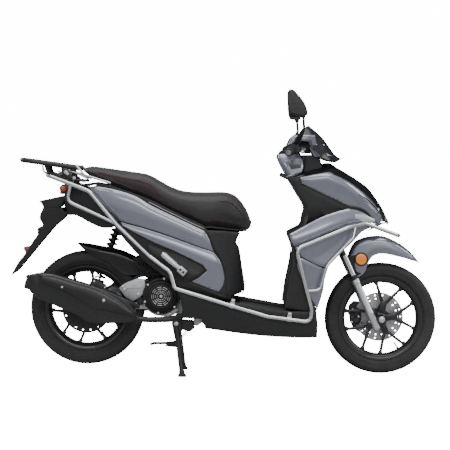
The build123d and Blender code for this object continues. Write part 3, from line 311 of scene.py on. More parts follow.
SMOKE = finish_material("smoke_sheet", (0.016, 0.017, 0.022), 0.22, coat=0.1, rough_vary=0.04,
        dust=0.03, Alpha=0.93)
# The amber reflector lenses glow a little: a reflector is no lamp, so this glow is painted light.
AMBER = lens_material("amber_lens", (0.95, 0.27, 0.015), 260.0, glow=0.25)
RED = lens_material("red_lens", (0.34, 0.06, 0.02), 240.0)
CLEAR = lens_material("clear_lens", (0.62, 0.64, 0.68), 120.0, strength=0.25)


def vinyl_material(name, color):
    """Seat cover: pebbled vinyl with fine pores and softly creased broad folds."""
    material = finish_material(name, color, 0.46, grain=(620.0, 0.55), dust=0.06, mottled=0.10)
    tree = material.node_tree
    shader = tree.nodes["Principled BSDF"]
    grain = shader.inputs["Normal"].links[0].from_socket
    place = tree.nodes.new("ShaderNodeTexCoord")
    folds = tree.nodes.new("ShaderNodeTexNoise")
    folds.inputs["Scale"].default_value = 16.0
    folds.inputs["Detail"].default_value = 3.0
    tree.links.new(place.outputs["Object"], folds.inputs["Vector"])
    bump = tree.nodes.new("ShaderNodeBump")
    bump.inputs["Strength"].default_value = 0.12
    bump.inputs["Distance"].default_value = 0.004
    tree.links.new(folds.outputs["Fac"], bump.inputs["Height"])
    tree.links.new(grain, bump.inputs["Normal"])
    tree.links.new(bump.outputs["Normal"], shader.inputs["Normal"])
    shader.inputs["Sheen Weight"].default_value = 0.15
    return material


VINYL = vinyl_material("seat_vinyl", (0.020, 0.019, 0.020))
VINYL_RED = vinyl_material("seat_vinyl_maroon", (0.022, 0.013, 0.015))
THREAD = finish_material("maroon_thread", (0.050, 0.008, 0.012), 0.6, grain=(2400.0, 0.4))


# ---- Modelling moves ------------------------------------------------------------------------
def pick(obj):
    bpy.ops.object.select_all(action="DESELECT")
    obj.select_set(True)
    bpy.context.view_layer.objects.active = obj


def into_edit(obj, kind="VERT", select="SELECT"):
    pick(obj)
    bpy.ops.object.mode_set(mode="EDIT")
    bpy.ops.mesh.select_mode(type=kind)
    bpy.ops.mesh.select_all(action=select)


def out_of_edit():
    bpy.ops.object.mode_set(mode="OBJECT")


def modify(obj, kind, **settings):
    modifier = obj.modifiers.new(kind.lower(), kind)
    for name, value in settings.items():
        setattr(modifier, name, value)
    pick(obj)
    bpy.ops.object.modifier_apply(modifier=modifier.name)


def tidy(obj, join=0.00005):
    into_edit(obj)
    bpy.ops.mesh.remove_doubles(threshold=join)
    bpy.ops.mesh.normals_make_consistent(inside=False)
    out_of_edit()


def place(obj, body, material, stands_for=(), slot=None, smooth=35):
    """Paints the finished piece, smooths it and lets it ride on its body."""
    pick(obj)
    bpy.ops.object.transform_apply(location=True, rotation=True, scale=True)
    if material:
        obj.data.materials.clear()
        obj.data.materials.append(material)
    bpy.ops.object.shade_smooth_by_angle(angle=radians(smooth))
    obj.data.name = obj.name
    if stands_for:
        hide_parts(*stands_for)
    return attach(obj, body)


def mirrored(obj, name):
    """Copy on the other side of the machine, with its own mesh."""
    pick(obj)
    bpy.ops.object.duplicate()
    twin = bpy.context.object
    twin.name = name
    for vertex in twin.data.vertices:
        vertex.co.y = -vertex.co.y
    into_edit(twin)
    bpy.ops.mesh.flip_normals()
    out_of_edit()
    return twin


def joined(parts, name):
    pick(parts[0])
    for part in parts[1:]:
        part.select_set(True)
    if len(parts) > 1:
        bpy.ops.object.join()
    obj = bpy.context.object
    obj.name = name
    return obj


def table(points):
    """Smooth curve through (input, output) pairs."""
    xs, ys = zip(*sorted(points))
    last = len(xs) - 1
    slopes = [(ys[min(i + 1, last)] - ys[max(i - 1, 0)]) / (xs[min(i + 1, last)] - xs[max(i - 1, 0)])
            for i in range(last + 1)]

    def value(x):
        if x <= xs[0]:
            return ys[0]
        if x >= xs[-1]:
            return ys[-1]
        i = max(k for k in range(last) if xs[k] <= x)
        span = xs[i + 1] - xs[i]
        t = (x - xs[i]) / span
        a, b = 2 * t ** 3 - 3 * t * t + 1, t ** 3 - 2 * t * t + t
        return (a * ys[i] + b * span * slopes[i] + (1 - a) * ys[i + 1]
                + (t ** 3 - t * t) * span * slopes[i + 1])
    return value


def ease(t):
    t = max(0.0, min(1.0, t))
    return t * t * (3 - 2 * t)


def traced(points, step=7.0, closed=True):
    """Smooth line through (x, z) points; a third value marks a sharp corner."""
    count = len(points)
    line = []
    for i in range(count if closed else count - 1):
        around = [points[(i + k) % count] if closed else points[max(0, min(count - 1, i + k))]
                for k in (-1, 0, 1, 2)]
        before, start, end, after = [Vector(p[:2]) for p in around]
        chord = end - start
        go = chord if len(around[1]) > 2 or before == start else (end - before)
        come = chord if len(around[2]) > 2 or after == end else (after - start)
        go, come = go.normalized() * chord.length, come.normalized() * chord.length
        pieces = max(1, round(chord.length / step))
        for k in range(pieces):
            t = k / pieces
            a, b = 2 * t ** 3 - 3 * t * t + 1, t ** 3 - 2 * t * t + t
            line.append(start * a + go * b + end * (1 - a) + come * (t ** 3 - t * t))
    if not closed:
        line.append(Vector(points[-1][:2]))
    return line


def off_line(x, z, line):
    """Signed distance from an XZ line, positive above it, and the share of the way along it."""
    best = None
    for i in range(len(line) - 1):
        (x0, z0), (x1, z1) = line[i][:2], line[i + 1][:2]
        dx, dz = x1 - x0, z1 - z0
        t = max(0.0, min(1.0, ((x - x0) * dx + (z - z0) * dz) / (dx * dx + dz * dz)))
        ox, oz = x - x0 - dx * t, z - z0 - dz * t
        gap = hypot(ox, oz)
        if best is None or gap < abs(best):
            best = gap if dx * oz - dz * ox >= 0 else -gap
    return best


def panel(name, outline, depth, wall=3.0, cell=9.0, round_edge=1.6, roll=(10.0, 4.0)):
    """Right-hand body panel: an outline cut into a fine grid, bowed to its depth, walled and rounded.

    depth(x, z) gives the distance from the mid-plane. Near its edge the panel turns in by
    roll[1] over roll[0], as a moulded panel's flange does."""
    edge = traced(outline)
    bpy.ops.object.select_all(action="DESELECT")
    bpy.ops.mesh.primitive_circle_add(vertices=len(edge), radius=0.1, fill_type="NGON")
    obj = bpy.context.object
    obj.name = name
    for vertex, (x, z) in zip(obj.data.vertices, edge):
        vertex.co = (x * MM, 0, z * MM)
    xs, zs = [p[0] for p in edge], [p[1] for p in edge]
    mesh = bmesh.new()
    mesh.from_mesh(obj.data)
    for axis, low, high in ((0, min(xs), max(xs)), (2, min(zs), max(zs))):
        cuts = int((high - low) / cell)
        for k in range(1, cuts + 1):
            spot, normal = Vector((0, 0, 0)), Vector((0, 0, 0))
            spot[axis] = (low + (high - low) * k / (cuts + 1)) * MM
            normal[axis] = 1
            bmesh.ops.bisect_plane(mesh, geom=mesh.verts[:] + mesh.edges[:] + mesh.faces[:],
                    plane_co=spot, plane_no=normal, dist=1e-6)
    mesh.to_mesh(obj.data)
    mesh.free()
    rim = [tuple(p) for p in edge]
    rim.append(rim[0])
    for vertex in obj.data.vertices:
        x, z = vertex.co.x / MM, vertex.co.z / MM
        y = depth(x, z)
        if roll[1]:
            inset = 1 - min(1.0, abs(off_line(x, z, rim)) / roll[0])
            y -= roll[1] * inset * inset
        vertex.co.y = -y * MM
    into_edit(obj)
    bpy.ops.mesh.remove_doubles(threshold=0.0004)
    bpy.ops.mesh.normals_make_consistent(inside=False)
    out_of_edit()
    facing = sum(f.normal.y * f.area for f in obj.data.polygons)
    if facing > 0:
        into_edit(obj)
        bpy.ops.mesh.flip_normals()
        out_of_edit()
    modify(obj, "SOLIDIFY", thickness=wall * MM, offset=-1.0)
    if round_edge:
        modify(obj, "BEVEL", width=min(round_edge, wall * 0.45) * MM, segments=2, limit_method="ANGLE",
               angle_limit=radians(50))
    return obj


def pair(name, body, material, outline, depth, stands_for=(), slot=None, **shape):
    """The same panel on both sides."""
    right = panel(name + "_right", outline, depth, **shape)
    left = mirrored(right, name + "_left")
    place(right, body, material, stands_for, slot)
    place(left, body, material, (), slot)
    return right, left


def surface(name, across, along, spot, wall=0.0, bevel=0.0):
    """Grid bent to a shape: spot(u, v) gives a place in millimetres, u along and v across, 0 to 1."""
    bpy.ops.object.select_all(action="DESELECT")
    bpy.ops.mesh.primitive_grid_add(x_subdivisions=along, y_subdivisions=across, size=1.0)
    obj = bpy.context.object
    obj.name = name
    for vertex in obj.data.vertices:
        u, v = vertex.co.x + 0.5, vertex.co.y + 0.5
        vertex.co = Vector(spot(u, v)) * MM
    tidy(obj, 0.00002)
    if wall:
        modify(obj, "SOLIDIFY", thickness=abs(wall) * MM, offset=-1.0 if wall > 0 else 1.0)
    if bevel:
        modify(obj, "BEVEL", width=bevel * MM, segments=2, limit_method="ANGLE",
               angle_limit=radians(50))
    return obj


def spun(name, profile, middle, steps=96, axis=(0, 1, 0), offset=0.0):
    """Ring or disc: a closed (radius, y) profile turned about a line along Y through the middle."""
    bpy.ops.object.select_all(action="DESELECT")
    bpy.ops.mesh.primitive_circle_add(vertices=len(profile), radius=0.1)
    obj = bpy.context.object
    obj.name = name
    for vertex, (r, y) in zip(obj.data.vertices, profile):
        vertex.co = (r * MM, (y + offset) * MM, 0)
    into_edit(obj)
    bpy.ops.mesh.spin(steps=steps, angle=tau, center=(0, 0, 0), axis=(0, 1, 0))
    bpy.ops.mesh.select_all(action="SELECT")
    bpy.ops.mesh.remove_doubles(threshold=0.00002)
    bpy.ops.mesh.normals_make_consistent(inside=False)
    out_of_edit()
    aim = Vector((0, 1, 0)).rotation_difference(Vector(axis).normalized()).to_matrix().to_4x4()
    obj.data.transform(Matrix.Translation(Vector(middle) * MM) @ aim)
    return obj


def turned_rod(name, start, end, stations, steps=28):
    """Turned piece from start to end: stations are (share of the way, radius)."""
    run = Vector(end) - Vector(start)
    outer = [(max(r, 0.01), share * run.length) for share, r in stations]
    profile = [(0.01, outer[0][1]), *outer, (0.01, outer[-1][1])]
    return spun(name, profile, start, steps, run)


def tube(name, points, radius, bends=None, sides=18):
    """Bent tube through straight runs joined by arcs, with capped ends."""
    points = [Vector(p) for p in points]
    bends = bends if isinstance(bends, (list, tuple)) else [bends or radius * 3] * (len(points) - 2)
    line = [points[0]]
    for i in range(1, len(points) - 1):
        before, corner, after = points[i - 1], points[i], points[i + 1]
        a, b = (before - corner), (after - corner)
        half = a.angle(b) / 2
        reach = min(bends[i - 1] / max(0.02, abs(sin(half) / cos(half)) if cos(half) > 1e-6 else 1e6),
                a.length * 0.48, b.length * 0.48)
        start, end = corner + a.normalized() * reach, corner + b.normalized() * reach
        for k in range(9):
            t = k / 8
            line.append(start * (1 - t) ** 2 + corner * 2 * t * (1 - t) + end * t * t)
    line.append(points[-1])
    curve = bpy.data.curves.new(name, "CURVE")
    curve.dimensions = "3D"
    curve.bevel_depth = radius * MM
    curve.bevel_resolution = max(2, sides // 4 - 1)
    curve.use_fill_caps = True
    spline = curve.splines.new("POLY")
    spline.points.add(len(line) - 1)
    for point, spot in zip(spline.points, line):
        point.co = (*(spot * MM), 1)
    obj = bpy.data.objects.new(name, curve)
    bpy.context.scene.collection.objects.link(obj)
    pick(obj)
    bpy.ops.object.convert(target="MESH")
    tidy(bpy.context.object)
    return bpy.context.object


def block(name, corners, y_low, y_high, edge=2.0, segments=3):
    """Moulded block: an XZ outline between two Y planes with its edges rounded."""
    bpy.ops.object.select_all(action="DESELECT")
    bpy.ops.mesh.primitive_circle_add(vertices=len(corners), radius=0.1, fill_type="NGON")
    obj = bpy.context.object
    obj.name = name
    for vertex, (x, z) in zip(obj.data.vertices, corners):
        vertex.co = (x * MM, y_low * MM, z * MM)
    into_edit(obj, "FACE")
    bpy.ops.mesh.extrude_region_move(
        TRANSFORM_OT_translate={"value": (0, (y_high - y_low) * MM, 0)})
    out_of_edit()
    tidy(obj)
    if edge:
        modify(obj, "BEVEL", width=edge * MM, segments=segments, limit_method="ANGLE",
               angle_limit=radians(25))
    return obj


def spoke(name, start, end, width, depth, edge=2.5, taper=1.0):
    """Flat bar between two points, its broad face towards +-Y."""
    start, end = Vector(start), Vector(end)
    run = (end - start).normalized()
    side = run.cross(Vector((0, 1, 0))).normalized()
    bpy.ops.object.select_all(action="DESELECT")
    bpy.ops.mesh.primitive_cube_add(size=2.0)
    obj = bpy.context.object
    obj.name = name
    for vertex in obj.data.vertices:
        far = vertex.co.x > 0
        w = width / 2 * (taper if far else 1.0)
        spot = (end if far else start) + side * (vertex.co.z * w) + Vector((0, vertex.co.y * depth / 2, 0))
        vertex.co = spot * MM
    modify(obj, "BEVEL", width=edge * MM, segments=2)
    return obj


def bolt_head(name, spot, axis, radius, height=5.0):
    """Hexagon head with a washer and a chamfered crown."""
    spot, axis = Vector(spot), Vector(axis).normalized()
    washer = turned_rod(name + "_washer", spot, spot + axis * 1.6,
            [(0, radius * 1.25), (0.7, radius * 1.25), (1, radius * 1.15)], 20)
    bpy.ops.object.select_all(action="DESELECT")
    bpy.ops.mesh.primitive_cylinder_add(vertices=6, radius=radius * MM, depth=height * MM)
    head = bpy.context.object
    aim = Vector((0, 0, 1)).rotation_difference(axis).to_matrix().to_4x4()
    head.data.transform(Matrix.Translation((spot + axis * (1.6 + height / 2)) * MM) @ aim)
    modify(head, "BEVEL", width=radius * 0.14 * MM, segments=2)
    return joined([washer, head], name)


# ---- Wheels -----------------------------------------------------------------------------------
def tread_depth(angle, across, pitches):
    """Depth of the tread grooves: two curved blocks of sipes that lean out to each shoulder."""
    edge = abs(across)
    if edge > 0.93:
        return 0.0
    lean = 0.55 * edge + (0.5 if across > 0 else 0.0)
    turn = (angle / tau * pitches + lean) % 1.0
    width = 0.20 if 0.16 < edge < 0.86 else 0.0
    near = abs(turn - 0.5)
    cross = 3.2 * max(0.0, min(1.0, (width / 2 - near) / 0.03)) if width else 0.0
    ring = 2.6 * max(0.0, min(1.0, (0.035 - abs(edge - 0.10)) / 0.012))
    return max(cross, ring)


def make_tyre(name, middle, outer, width, rim_half, pitches):
    """Tyre carcass: tread with cut grooves, shoulders, ribbed sidewalls and beads."""
    half = width / 2
    around, across = 432, 64
    side_line = [(174, rim_half - 5), (184, rim_half - 4), (191, rim_half - 1), (194, rim_half + 3),
            (198, rim_half + 6), (206, rim_half + 8.5), (209.5, half - 2.4), (211, half - 1.4),
            (218, half - 0.4), (outer - 26, half), (outer - 20, half - 0.8), (outer - 13, half - 4)]
    tread = [(outer - half * 0.52 * (k / 12) ** 2.2, half * 0.86 * k / 12) for k in range(12, -1, -1)]
    right = side_line + tread
    profile = [(r, y) for r, y in right] + [(r, -y) for r, y in reversed(right[:-1])]
    lengths = [0.0]
    for (r0, y0), (r1, y1) in zip(profile, profile[1:]):
        lengths.append(lengths[-1] + hypot(r1 - r0, y1 - y0))
    radius_at = table([(s / lengths[-1], r) for s, (r, y) in zip(lengths, profile)])
    y_at = table([(s / lengths[-1], y) for s, (r, y) in zip(lengths, profile)])

    def spot(u, v):
        angle = u * tau
        r, y = radius_at(v), y_at(v)
        if r > outer - 16:
            r -= tread_depth(angle, y / (half * 0.93), pitches)
        return (middle.x + r * cos(angle), y, middle.z + r * sin(angle))

    obj = surface(name, across, around, spot)
    modify(obj, "SOLIDIFY", thickness=4 * MM, offset=-1.0)
    facing = sum((f.center - middle * MM).dot(f.normal) * f.area for f in obj.data.polygons)
    if facing < 0:
        into_edit(obj)
        bpy.ops.mesh.flip_normals()
        out_of_edit()
    return obj


def make_rim(name, middle, rim_half, start_angle, hub_low, hub_high, hub_r=27.0):
    """Cast wheel: flanged barrel, hub and five forked spokes, with its valve."""
    h = rim_half
    profile = [(188, -h), (189, -h + 1.5), (187, -h + 3.4), (181, -h + 4.5), (174, -h + 7), (171, -h + 14),
            (171, h - 14), (174, h - 7), (181, h - 4.5), (187, h - 3.4), (189, h - 1.5), (188, h),
            (183, h), (176, h - 2.5), (168, h - 6), (164, h - 12), (162, h * 0.3), (160, 6),
            (160, -6), (162, -h * 0.3), (164, -h + 12), (168, -h + 6), (176, -h + 2.5), (183, -h)]
    parts = [spun(name + "_barrel", profile, middle, 128)]
    hub = [(8, hub_low), (hub_r - 6, hub_low), (hub_r - 3, hub_low + 3), (hub_r, -14), (hub_r + 4, -9),
           (hub_r + 4, 9), (hub_r, 14), (hub_r - 3, hub_high - 3), (hub_r - 6, hub_high), (8, hub_high)]
    parts.append(spun(name + "_hub", hub, middle, 48))
    for k in range(5):
        angle = radians(start_angle + k * 72)

        def at_angle(r, turn, y=0.0):
            return middle + Vector((r * cos(angle + radians(turn)), y, r * sin(angle + radians(turn))))

        parts.append(spoke(f"{name}_root{k}", at_angle(20, 0), at_angle(78, 0), 30, 22, 5.0, 0.9))
        for turn in (-21, 21):
            parts.append(spoke(f"{name}_arm{k}{turn}", at_angle(62, turn * 0.12), at_angle(165, turn), 15, 20,
                    4.0, 0.72))
            parts.append(spoke(f"{name}_foot{k}{turn}", at_angle(148, turn * 0.97),
                    at_angle(165, turn * 1.01),
                    13, 22, 4.0, 1.9))
    valve = middle + Vector((163 * cos(radians(300)), 0, 163 * sin(radians(300))))
    inward = (middle - valve).normalized()
    parts.append(turned_rod(name + "_valve", valve, valve + inward * 36,
            [(0, 6.5), (0.2, 6), (0.3, 3.4), (0.62, 3.2), (0.63, 4.2), (0.95, 4.0), (1, 3)],
            16))
    return joined(parts, name)


front_tyre = make_tyre("front_tyre_tread", FRONT_AXLE, FRONT_R, 80.0, 30.0, 34)
place(front_tyre, "front_wheel", TYRE, ("front_tyre",), "tyre", 30)
rear_tyre = make_tyre("rear_tyre_tread", REAR_AXLE, REAR_R, 100.0, 36.0, 34)
place(rear_tyre, "rear_wheel", TYRE, ("rear_tyre",), "tyre", 30)
place(make_rim("front_wheel_casting", FRONT_AXLE, 30.0, 75.4, -44, 54), "front_wheel", RIM_BLACK,
      ("front_rim",), "alloy")
place(make_rim("rear_wheel_casting", REAR_AXLE, 36.0, 62.0, -59, 55, 31.0), "rear_wheel", RIM_BLACK,
      ("rear_rim",), "alloy")


def rim_highlight_ring(name, middle, rim_half, body):
    """Thin dark-alloy ring at the edge of each rim flange, a shade lighter than the black rim: a painted
    highlight along the flange edges.
    """
    parts = []
    for side in (-1, 1):
        y = side * (rim_half + 0.05)
        ring = [(185.0, y), (187.6, y), (187.6, y + side * 0.35), (185.0, y + side * 0.35)]
        parts.append(spun(name, ring, middle, 128))
    place(joined(parts, name), body, ALLOY_DARK, (), "alloy")


# Painted highlights on the rim flange edges of both wheels.
rim_highlight_ring("front_rim_highlight", FRONT_AXLE, 30.0, "front_wheel")
rim_highlight_ring("rear_rim_highlight", REAR_AXLE, 36.0, "rear_wheel")


# ---- Fork, fender and front brake ----------------------------------------------------------------
def make_fork_legs():
    shine, dark = [], []
    for side in (-1, 1):
        y = side * 75
        low, high = steer(-34, 0, y), steer(216, 0, y)
        shine.append(turned_rod("leg", low, high, [(0, 12), (0.015, 15.5), (0.04, 16.5), (0.30, 16.5),
                (0.31, 17.2), (0.34, 17.2), (0.35, 16.4), (0.90, 16.4),
                (0.91, 18.6), (0.985, 18.6), (1, 17.6)], 40))
        foot = [steer(-30, 4), steer(-22, 30), steer(-12, 46), steer(6, 50), steer(14, 40), steer(16, 4)]
        lug = block("lug", [(p.x, p.z) for p in foot], y - 9, y + 9, 3.5)
        dark.append(lug)
        ring = [(14.6, 0), (18.6, 0), (18.6, 7), (16.8, 10), (15.8, 14), (14.6, 20)]
        dark.append(spun("seal", ring, steer(212, 0, y), 36, STEER_UP))
    place(joined(shine, "fork_legs_cast"), "fork_lower", SLIDER, ("fork_sliders",), "alloy")
    place(joined(dark, "fork_dust_seals"), "fork_lower", RUBBER)


make_fork_legs()


def make_axle_nuts():
    parts = [bolt_head(f"nut{s}", FRONT_AXLE + Vector((0, s * 84, 0)), (0, s, 0), 11, 7) for s in (-1, 1)]
    parts.append(turned_rod("spindle", FRONT_AXLE + Vector((0, -92, 0)), FRONT_AXLE + Vector((0, 92, 0)),
            [(0, 5.5), (0.01, 7.4), (0.99, 7.4), (1, 5.5)], 24))
    for s in (-1, 1):
        spot = steer(14, -17.5, s * 75)
        parts.append(bolt_head(f"pinch{s}", spot, -STEER_AHEAD, 5, 4))
    place(joined(parts, "front_spindle"), "fork_lower", ZINC, ("front_axle",), "guard_steel")


make_axle_nuts()


def make_caliper(name, middle, disc_y, direction, body, node):
    """Sliding caliper: ribbed body, piston housing, pad pins and bridge bolts."""
    aim = Vector((cos(radians(direction)), 0, sin(radians(direction))))
    spot = middle + aim * 108
    side = Vector((-aim.z, 0, aim.x))

    def corner(a, b):
        p = spot + aim * a + side * b
        return (p.x, p.z)

    shell = [corner(-24, -22), corner(-14, -38), corner(14, -40), corner(24, -26), corner(26, 0),
            corner(22, 30), corner(10, 40), corner(-14, 38), corner(-26, 20)]
    parts = [block(name + "_near", shell, disc_y - 24, disc_y - 4, 4.0),
            block(name + "_far", shell, disc_y + 4, disc_y + 20, 4.0)]
    over = [corner(10, -38), corner(22, -26), corner(25, 0), corner(21, 28), corner(9, 38), corner(12, 0)]
    parts.append(block(name + "_bridge", over, disc_y - 5, disc_y + 5, 1.5))
    for b in (-16, 16):
        cup = spot + side * b + aim * -4
        parts.append(turned_rod(name + "_cup", cup + Vector((0, disc_y - 22, 0)),
                cup + Vector((0, disc_y - 33, 0)),
                [(0, 15), (0.6, 15), (0.8, 13), (1, 11.5)], 28))
    for b in (-28, -6, 10, 30):
        rib = [corner(-18, b), corner(18, b), corner(18, b + 3), corner(-18, b + 3)]
        parts.append(block(name + "_rib", rib, disc_y - 27, disc_y - 22, 0.8))
    place(joined(parts, name), body, ALLOY_DARK, (node,), "disc_steel")
    pins = []
    for a, b in ((14, -30), (16, 26), (-14, 0)):
        p = spot + aim * a + side * b + Vector((0, disc_y - 25, 0))
        pins.append(bolt_head(name + "_pin", p, (0, -1, 0), 4.5, 4))
    place(joined(pins, name + "_bolts"), body, ZINC)


def make_brake_carriers():
    """Star carrier in the front disc, backing of the rear disc and the front brake's mounting plate."""
    star = []
    for k in range(40):
        a = tau * k / 40 + radians(75)
        r = 42 + 34 * (0.5 + 0.5 * cos(5 * tau * k / 40)) ** 2
        star.append((FRONT_AXLE.x + r * cos(a), FRONT_AXLE.z + r * sin(a)))
    place(block("front_disc_carrier", star, 40, 47, 1.5), "front_wheel", RIM_BLACK)
    ring = [(30, -50.5), (95, -50.5), (95, -53.2), (30, -53.2)]
    place(spun("rear_disc_carrier", ring, REAR_AXLE, 64), "rear_wheel", RIM_BLACK)
    plate = [(566, 300), (590, 322), (626, 318), (652, 296), (668, 268), (664, 232), (644, 196), (616, 178),
            (588, 196), (572, 238)]
    knobs = [block("plate", plate, 55.5, 60.5, 2)]
    for x, y, r in ((588, 226, 13), (606, 296, 15), (640, 300, 10), (612, 196, 11), (576, 268, 12)):
        knobs.append(turned_rod("knob", (x, 60.5, y), (x, 54.5, y), [(0, r), (0.8, r), (1, r * 0.7)], 24))
    place(joined(knobs, "front_brake_carrier"), "fork_lower", ALLOY_DARK, (), "disc_steel")
    tubes = [turned_rod("tube", steer(214, 0, y), steer(330, 0, y), [(0, 13.6), (1, 13.6)],
            40) for y in (-75, 75)]
    place(joined(tubes, "stanchion_chrome"), "steering", TUBE)


make_brake_carriers()
make_caliper("front_caliper_body", FRONT_AXLE, 50.0, 178, "fork_lower", "front_caliper")
make_caliper("rear_caliper_body", REAR_AXLE, -56.0, 62, "engine_unit", "rear_caliper")

FENDER_TOP = table([(560, 536), (576, 575), (596, 598), (650, 617), (716, 619), (784, 590), (842, 546),
        (882, 498)])
FENDER_EDGE = table([(560, 500), (584, 437), (606, 440), (632, 462), (642, 491), (662, 526), (705, 542),
        (782, 528), (842, 511), (882, 497.5)])
FENDER_WIDTH = table([(560, 44), (600, 50), (700, 52), (780, 50), (840, 38), (882, 5)])


def make_fender():
    """One bowed shell over the wheel, with valances down to the fork and a pointed nose."""
    def spot(u, v):
        x = 561 + (881 - 561) * u
        top, edge, width = FENDER_TOP(x), FENDER_EDGE(x), FENDER_WIDTH(x)
        t = (v - 0.5) * 2
        s = abs(t)
        shoulder = 0.55
        if s < shoulder:
            a = s / shoulder * pi / 2
            y = width * sin(a)
            z = top - min(26.0, (top - edge) * 0.5) * (1 - cos(a))
        else:
            k = (s - shoulder) / (1 - shoulder)
            start = top - min(26.0, (top - edge) * 0.5)
            z = start + (edge - start) * k
            y = width + 3.0 * sin(pi * k) * min(1.0, (start - edge) / 40)
        return (x, y if t > 0 else -y, z)

    shell = surface("front_fender_shell", 56, 90, spot, 3.0, bevel=1.2)
    place(shell, "steering", PAINT, ("front_fender",), "black_plastic", 40)
    stays = []
    for side in (-1, 1):
        plate = block("stay", [(560, 470), (588, 440), (614, 452), (624, 500), (600, 540), (566, 530)],
                side * 50 - 1.5, side * 50 + 1.5, 1.0)
        stays.append(plate)
    place(joined(stays, "fender_inner_stays"), "steering", PLASTIC)


make_fender()


def make_reflectors():
    rings, lenses = [], []
    for side in (-1, 1):
        base = Vector((614, side * 54, 518))
        out = Vector((0, side, 0))
        rings.append(turned_rod("cup", base, base + out * 10,
                [(0, 25), (0.05, 30), (0.7, 31), (0.95, 30), (1, 27.5), (1, 24.5),
                (0.8, 24)], 56))
        lenses.append(turned_rod("lens", base + out * 3, base + out * 11.5,
                [(0, 24), (0.75, 24), (0.92, 21), (0.98, 15), (1, 8)], 56))
    place(joined(rings, "reflector_cups"), "steering", GLOSS)
    place(joined(lenses, "reflector_lenses"), "steering", AMBER)


make_reflectors()


# ---- Body panels ---------------------------------------------------------------------------------
REAR_HALF = table([(-730, 62), (-600, 108), (-465, 142), (-323, 154), (-80, 160), (20, 154), (110, 124)])
SEAM_Z = table([(-600, 760), (-455, 690), (-323, 655), (-180, 608), (-42, 556)])
SEAT_EDGE_Z = table([(-600, 846), (-552, 850), (-455, 833), (-380, 806), (-323, 770), (-200, 710),
        (-80, 655), (0, 655)])


def upper_side(x, z):
    seam, top = SEAM_Z(x), SEAT_EDGE_Z(x)
    t = max(0.0, min(1.0, (z - seam) / max(20.0, top - seam)))
    swell = 7 * sin(pi * min(1.0, t * 0.8 + 0.1))
    return REAR_HALF(x) + swell - 14 * ease((t - 0.72) / 0.28) - 5 * ease((x + 110) / 60)


def lower_side(x, z):
    t = (SEAM_Z(x) - z) / 120
    crease = 26 + max(0.0, (x + 300) * 0.05)
    below = SEAM_Z(x) - z
    lean = 9 * (below / crease) if below < crease else 9 - 14 * ease((below - crease) / 190)
    return REAR_HALF(x) - 2 + lean - 8 * ease((x + 40) / 60) - 2 * t


pair("side_panel_upper", "chassis", PAINT,
     [(-596, 838, 1), (-552, 849), (-455, 832), (-380, 805), (-323, 769), (-200, 709), (-84, 656, 1),
      (-62, 606),
      (-44, 557, 1), (-180, 607), (-323, 656), (-457, 693, 1), (-530, 764)],
     upper_side, ("side_panels",), "body_grey", wall=3.0, roll=(12.0, 4.0))
pair("side_panel_lower", "chassis", PAINT,
     [(-452, 687, 1), (-323, 652), (-180, 603), (-42, 553, 1), (-12, 506), (4, 444), (6, 364, 1), (-60, 388),
      (-146, 424, 1), (-108, 446), (-72, 474, 1), (-92, 500, 1), (-200, 553), (-323, 607), (-446, 671, 1)],
     lower_side, (), "body_grey", wall=3.0, roll=(9.0, 3.0))

COVER_HALF = table([(-340, 156), (-250, 162), (-80, 168), (20, 170)])


def side_cover_depth(x, z):
    ridge = off_line(x, z, [(-330, 560), (-232, 500), (-150, 452), (0, 378)])
    return COVER_HALF(x) - 9 * ease((abs(ridge) - 8) / 40)


pair("side_cover", "chassis", PLASTIC,
     [(-338, 597, 1), (-200, 545), (-98, 495, 1), (-80, 474, 1), (-112, 450), (-154, 425, 1), (-70, 392),
      (8, 361, 1), (22, 345, 1), (-90, 372), (-196, 398, 1), (-226, 428), (-248, 484), (-290, 520),
      (-330, 547, 1)],
     side_cover_depth, ("side_covers",), "black_plastic", wall=3.0, roll=(8.0, 3.0))

FRONT_PANEL_HALF = table([(-90, 158), (-20, 156), (30, 142), (70, 112), (92, 84)])


def seat_front_depth(x, z):
    crease = off_line(x, z, [(-78, 650), (-38, 560), (-4, 488), (10, 370)])
    return FRONT_PANEL_HALF(x) + 3 - 4 * ease(abs(crease) / 24)


pair("seat_front_side", "chassis", PLASTIC,
     [(-80, 652, 1), (0, 648), (74, 640, 1), (60, 612), (48, 587, 1), (62, 578, 1), (76, 490), (88, 406, 1),
      (80, 372, 1), (50, 364), (14, 356, 1), (12, 420), (2, 486), (-14, 524), (-36, 558, 1)],
     seat_front_depth, ("seat_front_panel",), "body_grey", wall=3.0, roll=(7.0, 2.5))


def make_seat_front_face():
    line = table([(0, 62), (0.2, 51), (0.26, 63), (0.6, 78), (0.92, 90), (1, 84)])

    def spot(u, v):
        z = 640 - (640 - 366) * u
        width = 92 - 4 * sin(pi * u)
        y = (v - 0.5) * 2
        return (line(u) + 7 * (1 - y * y) - 4, y * width, z)

    face = surface("seat_front_face", 24, 44, spot, 3.0, bevel=1.0)
    place(face, "chassis", PLASTIC)


make_seat_front_face()

APRON_HALF = table([(250, 183), (360, 181), (440, 170), (510, 153), (570, 134), (640, 110), (700, 72),
        (740, 30)])
BAND_CREASE = [(280, 596), (400, 640), (480, 672), (560, 700), (660, 700)]


def apron_band(x, z):
    ridge = off_line(x, z, BAND_CREASE)
    return APRON_HALF(x) + 3 - (16 * ease(ridge / 60) if ridge > 0 else 5 * ease(-ridge / 34))


def apron_main(x, z):
    dish = off_line(x, z, [(310, 560), (380, 520), (450, 560), (560, 640)])
    return APRON_HALF(x) - 2 + 3.5 * ease(abs(dish) / 60)


def apron_low(x, z):
    return APRON_HALF(x) - 2 - 10 * ease((540 - z) / 240)


